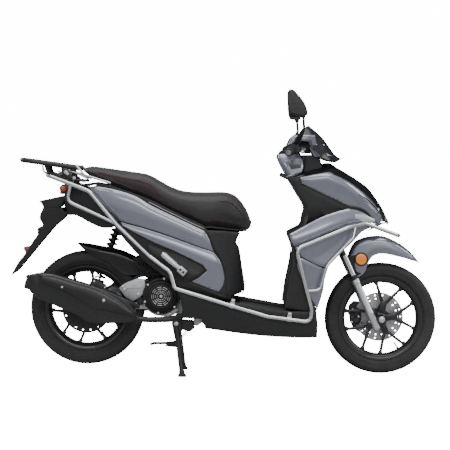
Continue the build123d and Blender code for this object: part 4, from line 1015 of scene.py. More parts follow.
pair("apron_band", "chassis", PAINT,
     [(287, 635, 1), (350, 668), (425, 707), (500, 733), (551, 745, 1), (600, 735), (652, 706), (694, 668, 1),
      (640, 683), (560, 671), (480, 648), (400, 615), (312, 580, 1), (296, 604)],
     apron_band, ("leg_panels",), "body_grey", wall=3.0, roll=(9.0, 4.5))
pair("apron_main", "chassis", PAINT,
     [(313, 576, 1), (400, 611), (480, 644), (560, 667), (640, 679), (672, 668, 1), (612, 642), (568, 597),
      (507, 545), (449, 487, 1), (412, 500), (340, 537, 1), (326, 552)],
     apron_main, (), "body_grey", wall=3.0, roll=(7.0, 2.0))
pair("apron_lower", "chassis", PAINT,
     [(340, 532, 1), (412, 496), (446, 483, 1), (443, 430), (436, 380), (412, 304, 1), (384, 346), (360, 386),
      (336, 456), (322, 506)],
     apron_low, (), "body_grey", wall=3.0, roll=(7.0, 2.0))

COWL_HALF = table([(270, 116), (350, 120), (450, 124), (540, 114), (610, 95), (670, 68), (712, 42),
        (740, 14)])
COWL_CREASE = [(340, 872), (460, 884), (540, 850), (610, 800), (700, 706)]


def cowl_depth(x, z):
    ridge = off_line(x, z, COWL_CREASE)
    second = off_line(x, z, [(400, 850), (520, 812), (640, 742)])
    return (COWL_HALF(x) - (18 * ease(ridge / 34) if ridge > 0 else 5 * ease(-ridge / 70))
            - (8 * ease(-second / 60) if second < 0 else 0))


pair("cowl_panel", "chassis", PAINT,
     [(341, 884, 1), (400, 897), (459, 902), (536, 874), (608, 826), (670, 769), (706, 712, 1), (703, 664, 1),
      (664, 702), (632, 732), (596, 748), (555, 750, 1), (450, 805), (343, 858, 1)],
     cowl_depth, ("cowl_panels",), "body_grey", wall=3.0, roll=(7.0, 3.0))


def cheek_depth(x, z):
    return COWL_HALF(x) - 9 - 12 * ease((760 - z) / 110)


pair("cowl_cheek", "chassis", PLASTIC,
     [(282, 886, 1), (340, 876), (346, 852, 1), (450, 798), (552, 744, 1), (520, 736), (425, 703),
      (350, 664, 1),
      (352, 704), (366, 748, 1), (326, 812)],
     cheek_depth, (), "black_plastic", wall=3.0, roll=(6.0, 2.5))


def sliver(name, line, width, lift, material, slot):
    """Narrow strip that stands on the cowl panel along a line."""
    def make(side):
        def spot(u, v):
            path = table([(i / (len(line) - 1), p[0]) for i, p in enumerate(line)])
            high = table([(i / (len(line) - 1), p[1]) for i, p in enumerate(line)])
            x, z = path(u), high(u)
            half = width * (1 - (2 * u - 1) ** 4) / 2 + 0.5
            z += (v - 0.5) * 2 * half
            return (x, side * (cowl_depth(x, z) + lift * (1 - (2 * v - 1) ** 2)), z)
        return surface(name, 6, 30, spot, 1.6 if side < 0 else -1.6)
    place(joined([make(-1), make(1)], name), "chassis", material, (), slot)


sliver("cowl_slit", [(598, 808), (640, 778), (676, 744), (694, 722)], 13, 1.5, GLOSS, "black_plastic")
sliver("cowl_light_line", [(606, 799), (645, 771), (676, 741), (688, 726)], 3.6, 3.4, CLEAR, "clear_lens")

RIDGE_Z = table([(290, 884), (350, 918), (424, 938), (474, 945), (508, 925), (554, 898), (606, 865),
        (649, 832), (687, 782), (715, 738), (741, 684)])
EDGE_Z = table([(290, 876), (341, 880), (459, 899), (536, 871), (608, 823), (670, 766), (706, 709),
        (741, 672)])


def make_ridge():
    """Black centre of the front cowl: a keeled cover from the column to the beak."""
    def spot(u, v):
        x = 292 + (741 - 292) * u
        t = (v - 0.5) * 2
        s = abs(t)
        half = max(5.0, COWL_HALF(x) - 20) + 2 - 2 * u
        top, low = RIDGE_Z(x), EDGE_Z(x)
        z = low + (top - low) * (1 - s ** 1.7) + 3 * max(0.0, 1 - s * 7)
        return (x, t * half, z - (5 if s > 0.97 else 0))

    place(surface("cowl_ridge", 36, 70, spot, 3.0, bevel=1.0), "chassis", GLOSS, ("front_cowl",),
          "black_plastic", 30)


make_ridge()


def make_nose():
    """Lamp glass under the beak, its reflector and projectors, the grey chin and the signal lenses."""
    def glass(u, v):
        t = (v - 0.5) * 2
        z = 772 - 88 * u
        x = 702 - 16 * (1 - u) ** 2 + 20 * u - 42 * abs(t) ** 1.8
        return (x, t * (62 - 14 * u), z)

    place(surface("headlight_glass", 30, 18, glass, 2.5, bevel=0.8), "chassis", CLEAR, ("headlight",),
          "clear_lens")

    def bowl(u, v):
        t = (v - 0.5) * 2
        return (664 + 10 * u - 34 * t * t, t * 56, 766 - 76 * u)

    place(surface("headlight_reflector", 20, 12, bowl, 1.5), "chassis", MIRROR_GLASS)
    parts = []
    for y in (-26, 26):
        parts.append(turned_rod("lamp", (668, y, 730), (694, y, 727),
                [(0, 8), (0.2, 16), (0.8, 20), (1, 19), (0.95, 15), (0.6, 10), (0.5, 3)], 28))
    place(joined(parts, "headlight_projectors"), "chassis", ALLOY)

    def chin(u, v):
        t = (v - 0.5) * 2
        x = 738 - 78 * u
        half = 8 + 86 * ease(u * 1.1)
        return (x + 6 - 30 * u * t * t, t * half, 684 - 22 * u - 16 * t * t * u + 4 * sin(pi * u))

    place(surface("nose_chin", 24, 24, chin, 3.0, bevel=1.0), "chassis", PAINT_DARK)

    def lamp(u, v):
        x = 578 + 92 * u
        z = 712 - 20 * u + (v - 0.5) * (34 - 20 * abs(2 * u - 0.9))
        return (x, -(APRON_HALF(x) + 2.0 + 3.2 * sin(pi * v)), z)

    right = surface("signal_lens_right", 10, 30, lamp, 2.0)
    left = mirrored(right, "signal_lens_left")
    place(right, "chassis", CLEAR)
    place(left, "chassis", CLEAR)


make_nose()


def make_leg_shield():
    """Rider's side of the apron: a black moulding with a shallow dished middle."""
    back_x = table([(318, 268), (440, 288), (545, 308), (580, 300), (638, 291), (664, 340), (745, 360),
            (800, 334), (884, 286)])
    half_at = table([(318, 178), (500, 180), (600, 177), (640, 172), (700, 122), (745, 106), (884, 100)])

    def spot(u, v):
        z = 318 + (884 - 318) * u
        t = (v - 0.5) * 2
        dish = 12 * (1 - t * t) * ease((z - 330) / 80) * ease((640 - z) / 60)
        return (back_x(z) + dish + 14 * max(0.0, abs(t) - 0.86) / 0.14, t * half_at(z), z)

    shell = surface("leg_shield_back", 40, 72, spot, -3.5, bevel=1.2)
    place(shell, "chassis", PLASTIC, ("leg_shield",), "black_plastic", 40)

    def liner(u, v):
        path = table([(0, 403), (0.2, 410), (0.45, 436), (0.7, 456), (1, 474)])
        z = 300 + 240 * u
        t = (v - 0.5) * 2
        return (path(u) - 26 * (1 - t * t), t * (98 + 24 * u), z)

    place(surface("wheel_arch_liner", 24, 24, liner, 3.0), "chassis", PLASTIC)

    def lower_side(x, z):
        return 178 - 6 * ease((z - 480) / 100)

    pair("shield_side", "chassis", PLASTIC,
         [(290, 600, 1), (308, 552), (360, 386), (410, 306, 1), (404, 296, 1), (340, 300), (268, 312, 1),
          (280, 400),
          (306, 548)], lower_side, (), "black_plastic", wall=3.0, roll=(6.0, 2.0))


make_leg_shield()


def u_shell(name, rear, front, half, low, high, body, material, slot=None, wall=3.0, corner=24.0):
    """Cover round the column: open at the front, its rear face bowed. rear and front give x at z."""
    def spot(u, v):
        z = low + (high - low) * u
        w = half(z)
        depth = front(z) - rear(z)
        side = depth - corner
        arc = corner * pi / 2
        across = 2 * (w - corner)
        total = 2 * side + 2 * arc + across
        s = v * total
        if s < side:
            return (front(z) - s, -w, z)
        if s < side + arc:
            a = (s - side) / corner
            return (rear(z) + corner - corner * sin(a), -w + corner * (1 - cos(a)), z)
        if s < side + arc + across:
            y = -(w - corner) + (s - side - arc)
            return (rear(z) - 4 * (1 - (y / (w - corner)) ** 2), y, z)
        if s < side + 2 * arc + across:
            a = (s - side - arc - across) / corner
            return (rear(z) + corner - corner * cos(a), (w - corner) + corner * sin(a), z)
        return (front(z) - (total - s), w, z)

    obj = surface(name, 72, 24, spot, wall, bevel=1.2)
    return place(obj, body, material, (), slot, 40)


u_shell("knee_panel", table([(884, 284), (970, 241), (998, 246)]),
        table([(884, 300), (907, 346), (953, 352), (998, 330)]),
        table([(884, 70), (940, 64), (966, 54), (998, 36)]), 886, 988, "chassis", PAINT, "body_grey")
u_shell("column_collar", table([(900, 346), (985, 352)]), table([(900, 440), (945, 436), (985, 424)]),
        table([(900, 58), (985, 52)]), 904, 984, "chassis", PLASTIC, "black_plastic", corner=20.0)


def knee_trim():
    """Bright moulding along the knee panel's lower edge, and its recessed glove-box lid."""
    parts = []
    for side in (-1, 1):
        parts.append(tube("trim", [(288, side * 71, 887), (318, side * 71, 897), (347, side * 70, 908)], 2.2))
    parts.append(tube("trim", [(283, -66, 886), (281, 0, 885), (283, 66, 886)], 2.2, 6))
    place(joined(parts, "knee_panel_trim"), "chassis", TUBE)
    lid = [(300, 918), (344, 926), (346, 946), (300, 960), (286, 946)]
    for side, word in SIDES:
        place(block(f"knee_recess_{word}", lid, *sorted((side * 66.5, side * 70.2)), 1.4), "chassis",
              PAINT_DARK)


knee_trim()


def make_floor():
    """Footboard with its ribbed mat, and the belly below it."""
    top_z = table([(14, 339), (59, 333), (306, 292), (400, 294)])

    def belly_depth(x, z):
        edge = off_line(x, z, [(-200, 388), (14, 330), (59, 322), (266, 284), (404, 284)])
        return 185 - 9 * ease((-edge - 10) / 120)

    pair("belly_side", "chassis", PLASTIC,
         [(-203, 390, 1), (-120, 366), (14, 338), (59, 335), (180, 314), (266, 299), (405, 296, 1),
          (412, 240),
          (410, 181, 1), (330, 180), (259, 183), (92, 197, 1), (-80, 223, 1), (-90, 244), (-98, 263, 1),
          (-186, 267, 1), (-182, 316)],
         belly_depth, ("floorboard",), "black_plastic", wall=3.0, roll=(9.0, 4.0))

    def board(u, v):
        x = 14 + (300 - 14) * u
        t = (v - 0.5) * 2
        return (x, t * 182, top_z(x) - 3 - (9 * ease((abs(t) - 0.93) / 0.07)))

    place(surface("footboard", 40, 30, board, 3.0, bevel=1.0), "chassis", PLASTIC)
    ribs = []
    for side in (-1, 1):
        for k in range(11):
            y = side * (40 + k * 12)
            ribs.append(block("rib", [(72, top_z(72) - 2), (282, top_z(282) - 2), (282, top_z(282) + 1.4),
                    (72, top_z(72) + 1.4)], y - 3, y + 3, 1.0, 2))
    place(joined(ribs, "footboard_ribs"), "chassis", MAT)

    def under(u, v):
        x = -80 + 490 * u
        t = (v - 0.5) * 2
        z = table([(-80, 224), (92, 199), (259, 185), (410, 183)])(x)
        return (x, t * 176, z + 1)

    place(surface("belly_pan", 20, 40, under, 3.0), "chassis", PLASTIC)

    def front(u, v):
        t = (v - 0.5) * 2
        return (408 - 10 * (1 - t * t), t * 176, 184 + 112 * u)

    place(surface("belly_front", 20, 14, front, 3.0), "chassis", PLASTIC)


make_floor()


def make_tail():
    """Under-seat tail: black side mouldings, the under tray and the seat's tail piece."""
    def tail_depth(x, z):
        return REAR_HALF(x) - 4 + 4 * sin(max(0.0, min(1.0, (z - 660) / 200)) * pi)

    pair("tail_side", "chassis", PLASTIC,
         [(-702, 842, 1), (-640, 846), (-590, 828, 1), (-530, 762), (-458, 692, 1), (-470, 676),
          (-494, 660, 1),
          (-543, 662), (-600, 686), (-656, 714), (-690, 714, 1), (-702, 750), (-712, 786, 1)],
         tail_depth, ("tail_cover",), "black_plastic", wall=3.0, roll=(10.0, 5.0))

    def tray(u, v):
        x = -712 + 220 * u
        t = (v - 0.5) * 2
        z = table([(-712, 716), (-656, 712), (-600, 686), (-543, 661), (-492, 659)])(x)
        return (x, t * (REAR_HALF(x) - 12), z + 9 + 6 * t * t)

    place(surface("tail_tray", 20, 30, tray, 3.0), "chassis", PLASTIC)

    def back(u, v):
        t = (v - 0.5) * 2
        return (-708 - 10 * sin(pi * u) + 16 * t * t, t * 62, 722 + 120 * u)

    place(surface("tail_back", 16, 16, back, 3.0), "chassis", PLASTIC)

    def deck(u, v):
        x = -712 + 150 * u
        t = (v - 0.5) * 2
        return (x, t * (REAR_HALF(x) - 8), 842 + 22 * u - 10 * t * t)

    place(surface("tail_deck", 20, 20, deck, 3.0), "chassis", PLASTIC)
    lens = block("tail_lamp", [(-716, 806), (-732, 810), (-727, 842), (-706, 846)], -56, 56, 5.0, 4)
    signals = []
    stalks = []
    for side in (-1, 1):
        signals.append(turned_rod("signal", (-694, side * 104, 838), (-716, side * 142, 832),
                [(0, 15), (0.1, 18), (0.6, 18), (0.85, 14), (1, 6)], 32))
        stalks.append(turned_rod("stalk", (-680, side * 78, 842), (-697, side * 109, 837),
                [(0, 9), (0.7, 11), (0.9, 18.5), (1, 19)], 28))
    place(joined([lens, *signals], "rear_lenses"), "chassis", RED, ("rear_lights",), "red_lens")
    place(joined(stalks, "rear_signal_stalks"), "chassis", PLASTIC)


make_tail()


def squeeze(obj, half_at, axis="z"):
    """Scales the width of a piece by a factor that changes along it."""
    for vertex in obj.data.vertices:
        vertex.co.y *= half_at((vertex.co.z if axis == "z" else vertex.co.x) / MM)


def make_mudguard():
    """Number-plate bracket and the long rear mudguard blade."""
    bracket = block("bracket", [(-824, 779), (-770, 790), (-712, 803), (-706, 780), (-728, 752), (-753, 736),
            (-786, 728), (-819, 724), (-812, 736), (-806, 752)], -56, 56, 4.0)
    squeeze(bracket, table([(-824, 0.78), (-760, 1.0), (-706, 1.0)]), "x")
    parts = [bracket]
    for y in (-46, 46):
        parts.append(block("rib", [(-826, 776), (-790, 786), (-784, 774), (-812, 766)], y - 2, y + 2, 0.8))

    def blade(u, v):
        z = 742 - (742 - 447) * u
        rear = table([(742, -800), (724, -817), (700, -822), (668, -809), (657, -831), (627, -833),
                (600, -852),
                (575, -868), (548, -884), (500, -922), (447, -952)])(z)
        front = table([(742, -716), (709, -698), (660, -752), (593, -812), (520, -874), (459, -928),
                (447, -950)])(z)
        t = (v - 0.5) * 2
        s = abs(t)
        w = 62 - 22 * u
        if s < 0.5:
            return (rear, (t * 2) * (w - 8), z)
        k = (s - 0.5) * 2
        y = (w - 8) + 8 * sin(min(1.0, k * 3) * pi / 2)
        return (rear + (front - rear) * max(0.0, k - 0.06), y if t > 0 else -y, z + 6 * k * (1 - u))

    parts.append(surface("blade", 44, 70, blade, 3.0, bevel=0.8))
    place(joined(parts, "rear_mudguard_blade"), "chassis", PLASTIC, ("rear_mudguard",), "black_plastic", 40)
    lens = block("rear_reflector", [(-868, 575), (-896, 571), (-900, 566), (-886, 540), (-880, 542)], -27,
            27, 2.0)
    place(lens, "chassis", RED)


make_mudguard()


def make_backing():
    """Black inner mouldings behind the seams of the side, tail and cowl panels, and a painted highlight along
    each side panel's top edge.
    """
    pair("side_backing", "chassis", PLASTIC,
         [(-566, 862, 1), (-480, 842), (-326, 786), (-200, 724), (-96, 676, 1), (-60, 640), (16, 560),
          (34, 440),
          (30, 345, 1), (-120, 352, 1), (-330, 500), (-430, 600), (-500, 690, 1), (-560, 800)],
         lambda x, z: REAR_HALF(x) - 9, (), "black_plastic", wall=2.5, roll=(3.0, 1.0))
    pair("cowl_backing", "chassis", PLASTIC,
         [(342, 880, 1), (450, 890), (540, 860), (620, 800), (690, 712, 1), (640, 704), (560, 700),
          (480, 700),
          (420, 730, 1)], lambda x, z: COWL_HALF(x) - 10, (), "black_plastic", wall=2.5, roll=(3.0, 1.0))
    # Bright tube along the top edge of each side panel, under the seat: a painted highlight where that edge
    # catches the overhead light.
    edge_highlights = []
    for side in (-1, 1):
        line = [(x, side * (REAR_HALF(x) - 2), SEAT_EDGE_Z(x) + 2.5) for x in (-330, -260, -200, -150, -86)]
        edge_highlights.append(tube("trim", line, 1.8, 200, 8))
    place(joined(edge_highlights, "side_panel_edge_highlights"), "chassis", TUBE)


make_backing()


def make_hugger():
    """Inner mudguard over the rear wheel, arched across, with a pointed rear lip."""
    top = table([(-655, 590), (-620, 588), (-534, 573), (-470, 560), (-430, 545), (-380, 518), (-345, 486),
            (-328, 452)])
    low = table([(-655, 589), (-620, 556), (-560, 527), (-512, 505), (-447, 453), (-391, 447), (-345, 440),
            (-328, 436)])

    def spot(u, v):
        x = -654 + 325 * u
        hi, lo = top(x), low(x)
        t = (v - 0.5) * 2
        s = abs(t)
        w = 40 + 24 * ease(u * 3)
        drop = min(24.0, (hi - lo) * 0.6)
        if s < 0.6:
            a = s / 0.6 * pi / 2
            y, z = w * sin(a), hi - drop * (1 - cos(a))
        else:
            k = (s - 0.6) / 0.4
            y, z = w, hi - drop + (lo - hi + drop) * k
        return (x, y if t > 0 else -y, z)

    shell = surface("rear_hugger_shell", 44, 70, spot, 3.0, bevel=1.0)
    place(shell, "engine_unit", GLOSS, ("rear_hugger",), "black_plastic", 40)


make_hugger()


# ---- Seat ------------------------------------------------------------------------------------------
SEAT_TOP_Z = table([(-634, 918), (-628, 926), (-610, 931), (-480, 914), (-360, 896), (-322, 884), (-285, 862),
        (-242, 838), (-200, 822), (-156, 814), (-80, 812), (4, 813), (42, 803), (72, 779),
        (102, 741), (120, 704), (127, 684)])
SEAT_LOW_Z = table([(-634, 914), (-610, 898), (-498, 852), (-326, 778), (-283, 752), (-156, 697), (-84, 662),
        (-40, 665), (72, 650), (104, 646), (120, 660), (127, 682)])
SEAT_HALF = table([(-640, 70), (-600, 92), (-500, 108), (-400, 116), (-329, 124), (-200, 141), (-100, 143),
        (-20, 137), (50, 110), (100, 84), (130, 52)])


def make_seat():
    """Two-up saddle: a padded skin over one base, sewn at the step, along the sides and at the nose."""
    def spot(u, v):
        x = -633 + 759 * (0.5 - 0.5 * cos(pi * u))
        top, low, half = SEAT_TOP_Z(x), SEAT_LOW_Z(x), SEAT_HALF(x) - 4
        end = min(1.0, (min(x + 634, 128 - x) / 26)) ** 0.5
        half *= max(0.05, end)
        angle = v * tau
        cy, cz = cos(angle), sin(angle)
        y = half * abs(cy) ** 0.62 * (1 if cy > 0 else -1)
        middle = low + (top - low) * 0.42
        if cz > 0:
            z = middle + (top - middle) * abs(cz) ** 0.70
        else:
            z = middle - (middle - low) * min(1.0, abs(cz) ** 0.30)
            y *= 1 - 0.10 * abs(cz)
        return (x, y, z)

    saddle = surface("saddle", 96, 150, spot)
    into_edit(saddle, "VERT", "DESELECT")
    bpy.ops.mesh.select_non_manifold()
    bpy.ops.mesh.edge_face_add()
    bpy.ops.mesh.select_all(action="SELECT")
    bpy.ops.mesh.normals_make_consistent(inside=False)
    out_of_edit()
    modify(saddle, "REMESH", mode="VOXEL", voxel_size=0.006)
    modify(saddle, "SMOOTH", factor=0.5, iterations=4)
    rest = [v.co.copy() for v in saddle.data.vertices]
    pick(saddle)
    cloth = saddle.modifiers.new("cloth", "CLOTH")
    cloth.settings.use_pressure = True
    cloth.settings.uniform_pressure_force = 4.0
    cloth.settings.effector_weights.gravity = 0
    for number in range(1, 21):
        bpy.context.scene.frame_set(number)
    bpy.ops.object.modifier_apply(modifier="cloth")
    bpy.context.scene.frame_set(1)
    cap = 5.0 * MM
    for vertex, was in zip(saddle.data.vertices, rest):
        move = vertex.co - was
        if vertex.co.z < was.z and was.z < SEAT_LOW_Z(was.x / MM) * MM + 0.02:
            move *= 0.15
        if move.length > cap:
            move *= cap / move.length
        vertex.co = was + move
    modify(saddle, "SUBSURF", levels=1, render_levels=1)
    saddle.data.materials.append(VINYL)
    saddle.data.materials.append(VINYL_RED)
    side_seam = [(-628, 917), (-560, 912), (-440, 897), (-352, 880), (-316, 860), (-292, 826), (-286, 790),
            (-300, 764)]
    nose_seam = [(-6, 800), (40, 790), (72, 764), (98, 727), (116, 690)]
    for face in saddle.data.polygons:
        x, y, z = face.center / MM
        if abs(y) < SEAT_HALF(x) * 0.55:
            continue
        behind = x < -286 and off_line(x, z, side_seam) < 0 and z > SEAT_LOW_Z(x) + 22
        nose = x > 0 and 0 < off_line(x, z, nose_seam) < 14
        face.material_index = 1 if behind or nose else 0
    place(saddle, "seat", None, ("seat_cushion",), "seat_vinyl", 60)

    def on_skin(points, side, lift=0.4):
        line = []
        for x, z in points:
            aim = Vector((x, side * (SEAT_HALF(x) + 30), z)) * MM
            hit, normal = saddle.closest_point_on_mesh(aim)[1:3]
            line.append(hit / MM + normal * lift)
        return line

    piping, stitches = [], []
    for side, word in SIDES:
        for number, seam in enumerate((side_seam, nose_seam)):
            path = [tuple(p) for p in traced(seam, 9.0, closed=False)]
            spots = on_skin(path, side)
            piping.append(tube(f"piping_{word}{number}", spots, 1.5, 4.0, 8))
            offset = [(x, z - 6) for x, z in path]
            rows = on_skin(offset, side, 0.5)
            for start, end in zip(rows, rows[1:]):
                stitches.append(tube("stitch", [start, start + (end - start) * 0.62], 0.55, sides=8))
        skirt = [tuple(p) for p in traced([(x, SEAT_LOW_Z(x) + 13) for x in range(-590, 110, 50)], 12.0,
                closed=False)]
        piping.append(tube(f"skirt_seam_{word}", on_skin(skirt, side, -0.3), 1.3, 4.0, 8))
    step = [(-330, k * 12) for k in range(-9, 10)]
    line = []
    for x, y in step:
        hit, normal = saddle.closest_point_on_mesh(Vector((x, y, 960)) * MM)[1:3]
        line.append(hit / MM + normal * 0.2)
    piping.append(tube("step_seam", line, 1.4, 4.0, 8))
    place(joined(piping, "saddle_piping"), "seat", THREAD)
    place(joined(stitches, "saddle_stitching"), "seat", THREAD)


make_seat()


# ---- Handlebar, cover, screen and mirrors -----------------------------------------------------------
BAR_CENTRE = steer(858)


def bar_point(side, distance):
    share = (distance - 150) / 195
    start, end = BAR_CENTRE + Vector((-12, 0, -3)), BAR_CENTRE + Vector((-41, 0, -25))
    spot = start.lerp(end, share)
    return Vector((spot.x, side * distance, spot.z))


def make_cover():
    """Painted cover over the handlebar: an arch on each side joined by a crowned top."""
    outer = traced([(284, 1030, 1), (297, 1056), (314, 1070, 1), (360, 1073), (407, 1070, 1), (416, 1034),
            (442, 1005), (484, 979, 1)], 6.0, closed=False)
    inner = traced([(294, 1021, 1), (304, 1034), (324, 1044, 1), (356, 1044), (376, 1040, 1), (386, 1008),
            (404, 975, 1)], 6.0, closed=False)
    outside = [table([(i / (len(outer) - 1), p[k]) for i, p in enumerate(outer)]) for k in (0, 1)]
    inside = [table([(i / (len(inner) - 1), p[k]) for i, p in enumerate(inner)]) for k in (0, 1)]

    def spot(u, v):
        t = (v - 0.5) * 2
        s = abs(t)
        high = Vector((outside[0](u), outside[1](u)))
        low = Vector((inside[0](u), inside[1](u)))
        wide = 112 - 44 * ease((u - 0.42) / 0.35)
        if s < 0.55:
            k = s / 0.55
            lift = 7 * (1 - k * k) * sin(pi * min(1, max(0, u)))
            out = (high - low).normalized()
            p = high + out * lift
            y = k * (wide - 12)
        elif s < 0.7:
            a = (s - 0.55) / 0.15 * pi / 2
            p = high + (low - high).normalized() * (12 * (1 - cos(a)))
            y = (wide - 12) + 12 * sin(a)
        else:
            k = (s - 0.7) / 0.3
            start = high + (low - high).normalized() * 12
            p = start.lerp(low, k)
            y = wide + 3 * sin(pi * k)
        return (p.x, y if t > 0 else -y, p.y)

    shell = surface("bar_cover", 60, 64, spot, 3.0, bevel=1.2)
    place(shell, "steering", PAINT, ("handlebar_cover",), "body_grey", 40)

    def core(u, v):
        t = (v - 0.5) * 2
        path_x = table([(0, 398), (0.4, 420), (0.7, 430), (1, 424)])
        return (path_x(u) - 30 * t * t, t * (92 - 40 * u), 1052 - 82 * u)

    place(surface("bar_cover_inner", 24, 24, core, 3.0), "steering", PLASTIC)
    block_parts = [block("crown", [(330, 1004), (338, 1044), (352, 1056), (400, 1056), (424, 1004)], -48, 48,
            6.0),
            block("neck", [(354, 990), (354, 1010), (418, 1010), (422, 990)], -34, 34, 5.0)]
    place(joined(block_parts, "stem_cover"), "steering", PLASTIC)
    dial = block("dial_pod", [(284, 1024), (309, 1066), (330, 1066), (330, 1036), (300, 1020)], -78, 78, 4.0)
    place(dial, "steering", GLOSS)
    normal = Vector((-0.86, 0, 0.51))
    face = Vector((296.5, 0, 1045)) + normal * 1.2
    rings, marks = [], []
    for y, radius in ((-40, 26), (0, 30), (40, 26)):
        spot0 = face + Vector((0, y, 0))
        rings.append(turned_rod("ring", spot0 - normal * 2, spot0 + normal * 2.4,
                [(0, radius * 0.7), (0.1, radius * 0.74), (1, radius * 0.74),
                (1, radius * 0.66)], 40))
        for k in range(11):
            a = radians(-40 + k * 26)
            up = Vector((0.51, 0, 0.86))
            mark = spot0 + normal * 1.6 + (Vector((0, 1, 0)) * cos(a) + up * sin(a)) * radius * 0.56
            marks.append(turned_rod("mark", mark, mark + normal * 0.8, [(0, 1.1), (1, 1.1)], 8))
    place(joined(rings, "dial_rings"), "steering", ZINC)
    place(joined(marks, "dial_marks"), "steering", SLIDER)


make_cover()


def make_screen():
    """Smoked flyscreen, bowed across, with a thick black edge."""
    line = traced([(383, 1115, 1), (416, 1088), (449, 1055), (480, 1012), (500, 985), (527, 967, 1)], 8.0,
            closed=False)
    path = [table([(i / (len(line) - 1), p[k]) for i, p in enumerate(line)]) for k in (0, 1)]
    half = table([(0, 40), (0.25, 70), (0.6, 92), (0.85, 84), (1, 34)])

    def spot(u, v):
        t = (v - 0.5) * 2
        bow = 78 * t * t * (0.45 + 0.55 * sin(pi * u))
        return (path[0](u) - bow * 0.8, t * half(u), path[1](u) - bow * 0.45)

    sheet = surface("flyscreen", 44, 40, spot, 3.6, bevel=0.9)
    place(sheet, "steering", SMOKE, ("windscreen",), "smoke", 40)
    edge = [Vector(spot(u / 24, 1.0)) for u in range(25)]
    top = [Vector(spot(0, k / 10)) for k in range(1, 10)]
    back = [Vector((p.x, -p.y, p.z)) for p in reversed(edge)]
    rim = [*top, *edge, *[Vector(spot(1, 1 - k / 10)) for k in range(1, 10)], *back]
    place(tube("flyscreen_edge", rim, 2.6, 6.0, 12), "steering", GLOSS)
    screws = [bolt_head("screw", Vector(spot(0.55, v)) + Vector((1, 0, 1.5)), (0.75, 0, 0.66), 4.2, 2.4)
            for v in (0.22, 0.78)]
    place(joined(screws, "flyscreen_screws"), "steering", ZINC)
    stay = [tube("stay", [(404, y, 1060), (424, y, 1052), (442, y, 1040)], 5) for y in (-40, 40)]
    place(joined(stay, "flyscreen_stays"), "steering", PLASTIC)


make_screen()


def make_mirror(side, word):
    outline = traced([(272, 1204), (272, 1246), (278, 1256), (291, 1261), (303, 1255), (326, 1232),
            (347, 1206),
            (359, 1180), (364, 1162, 1), (358, 1149, 1), (322, 1150), (286, 1155, 1), (277, 1176)],
            7.0)
    fold = 1.0 if side < 0 else 0.62
    def lean(obj):
        for vertex in obj.data.vertices:
            vertex.co.x = 0.352 + (vertex.co.x - 0.352) * fold
            vertex.co.y = side * (0.290 - (vertex.co.x - 0.318) * 0.95 / fold ** 1.6 + vertex.co.y)

    shell = block("shell", [tuple(p) for p in outline], -18, 17, 11.0, 6)
    for vertex in shell.data.vertices:
        if vertex.co.y > 0:
            vertex.co.y += 0.004 * (1 - ((vertex.co.x / MM - 318) / 44) ** 2)
    lean(shell)
    small = [(318 + (x - 318) * 0.84, 1202 + (z - 1202) * 0.84) for x, z in outline]
    glass = block("glass", small, -19.6, -17.0, 0.8, 2)
    lean(glass)
    for obj in (shell, glass):
        into_edit(obj)
        bpy.ops.mesh.normals_make_consistent(inside=False)
        out_of_edit()
    body = f"mirror_{word}"
    place(shell, body, PLASTIC, (f"mirror_{word}",), "black_plastic", 40).name = f"mirror_shell_{word}"
    place(glass, body, MIRROR_GLASS).name = f"mirror_glass_{word}"
    pivot = Vector(JOINTS[f"mirror_{word}_turn"]["pos_m"]) / MM
    base = pivot + Vector((0, 0, 1))
    neck = Vector((347, side * 259, 1096))
    foot = turned_rod("boot", base, neck,
            [(0, 13), (0.1, 15), (0.2, 14), (0.45, 11), (0.5, 11.8), (0.55, 10.6), (0.8, 8),
            (1, 6)], 28)
    stalk = turned_rod("stalk", neck, (343, side * 270, 1154), [(0, 5.8), (1, 5.8)], 20)
    ball = turned_rod("socket", (344, side * 267, 1140), (340, side * 276, 1166),
            [(0, 7), (0.2, 10), (0.5, 11), (1, 10)], 24)
    place(joined([foot, stalk, ball], f"mirror_stalk_{word}"), body, RUBBER, (), "black_plastic")


for side, word in SIDES:
    make_mirror(side, word)


def make_grips():
    for side, word in SIDES:
        start, end = bar_point(side, 212), bar_point(side, 341)
        stations = [(0, 24), (0.03, 25), (0.05, 17)]
        for k in range(16):
            s = 0.08 + k * 0.055
            stations += [(s, 16.8), (s + 0.036, 16.8), (s + 0.04, 15.4), (s + 0.052, 15.4)]
        stations += [(0.97, 17.5), (1, 17.5)]
        body = "throttle" if side < 0 else "steering"
        node = "grip_right" if side < 0 else "grip_left"
        place(turned_rod(f"grip_rubber_{word}", start, end, stations, 48), body, RUBBER, (node,), "rubber")
        cap = turned_rod(f"bar_end_{word}", end, bar_point(side, 344.5),
                [(0, 15.5), (0.5, 17), (0.9, 16), (1, 14), (0.6, 9)], 40)
        place(cap, "steering", GLOSS, (), "guard_steel")
        plug = turned_rod(f"bar_plug_{word}", bar_point(side, 341.8), bar_point(side, 345),
                [(0, 7.5), (0.9, 7.5), (1, 6)], 32)
        place(plug, "steering", ZINC)


make_grips()


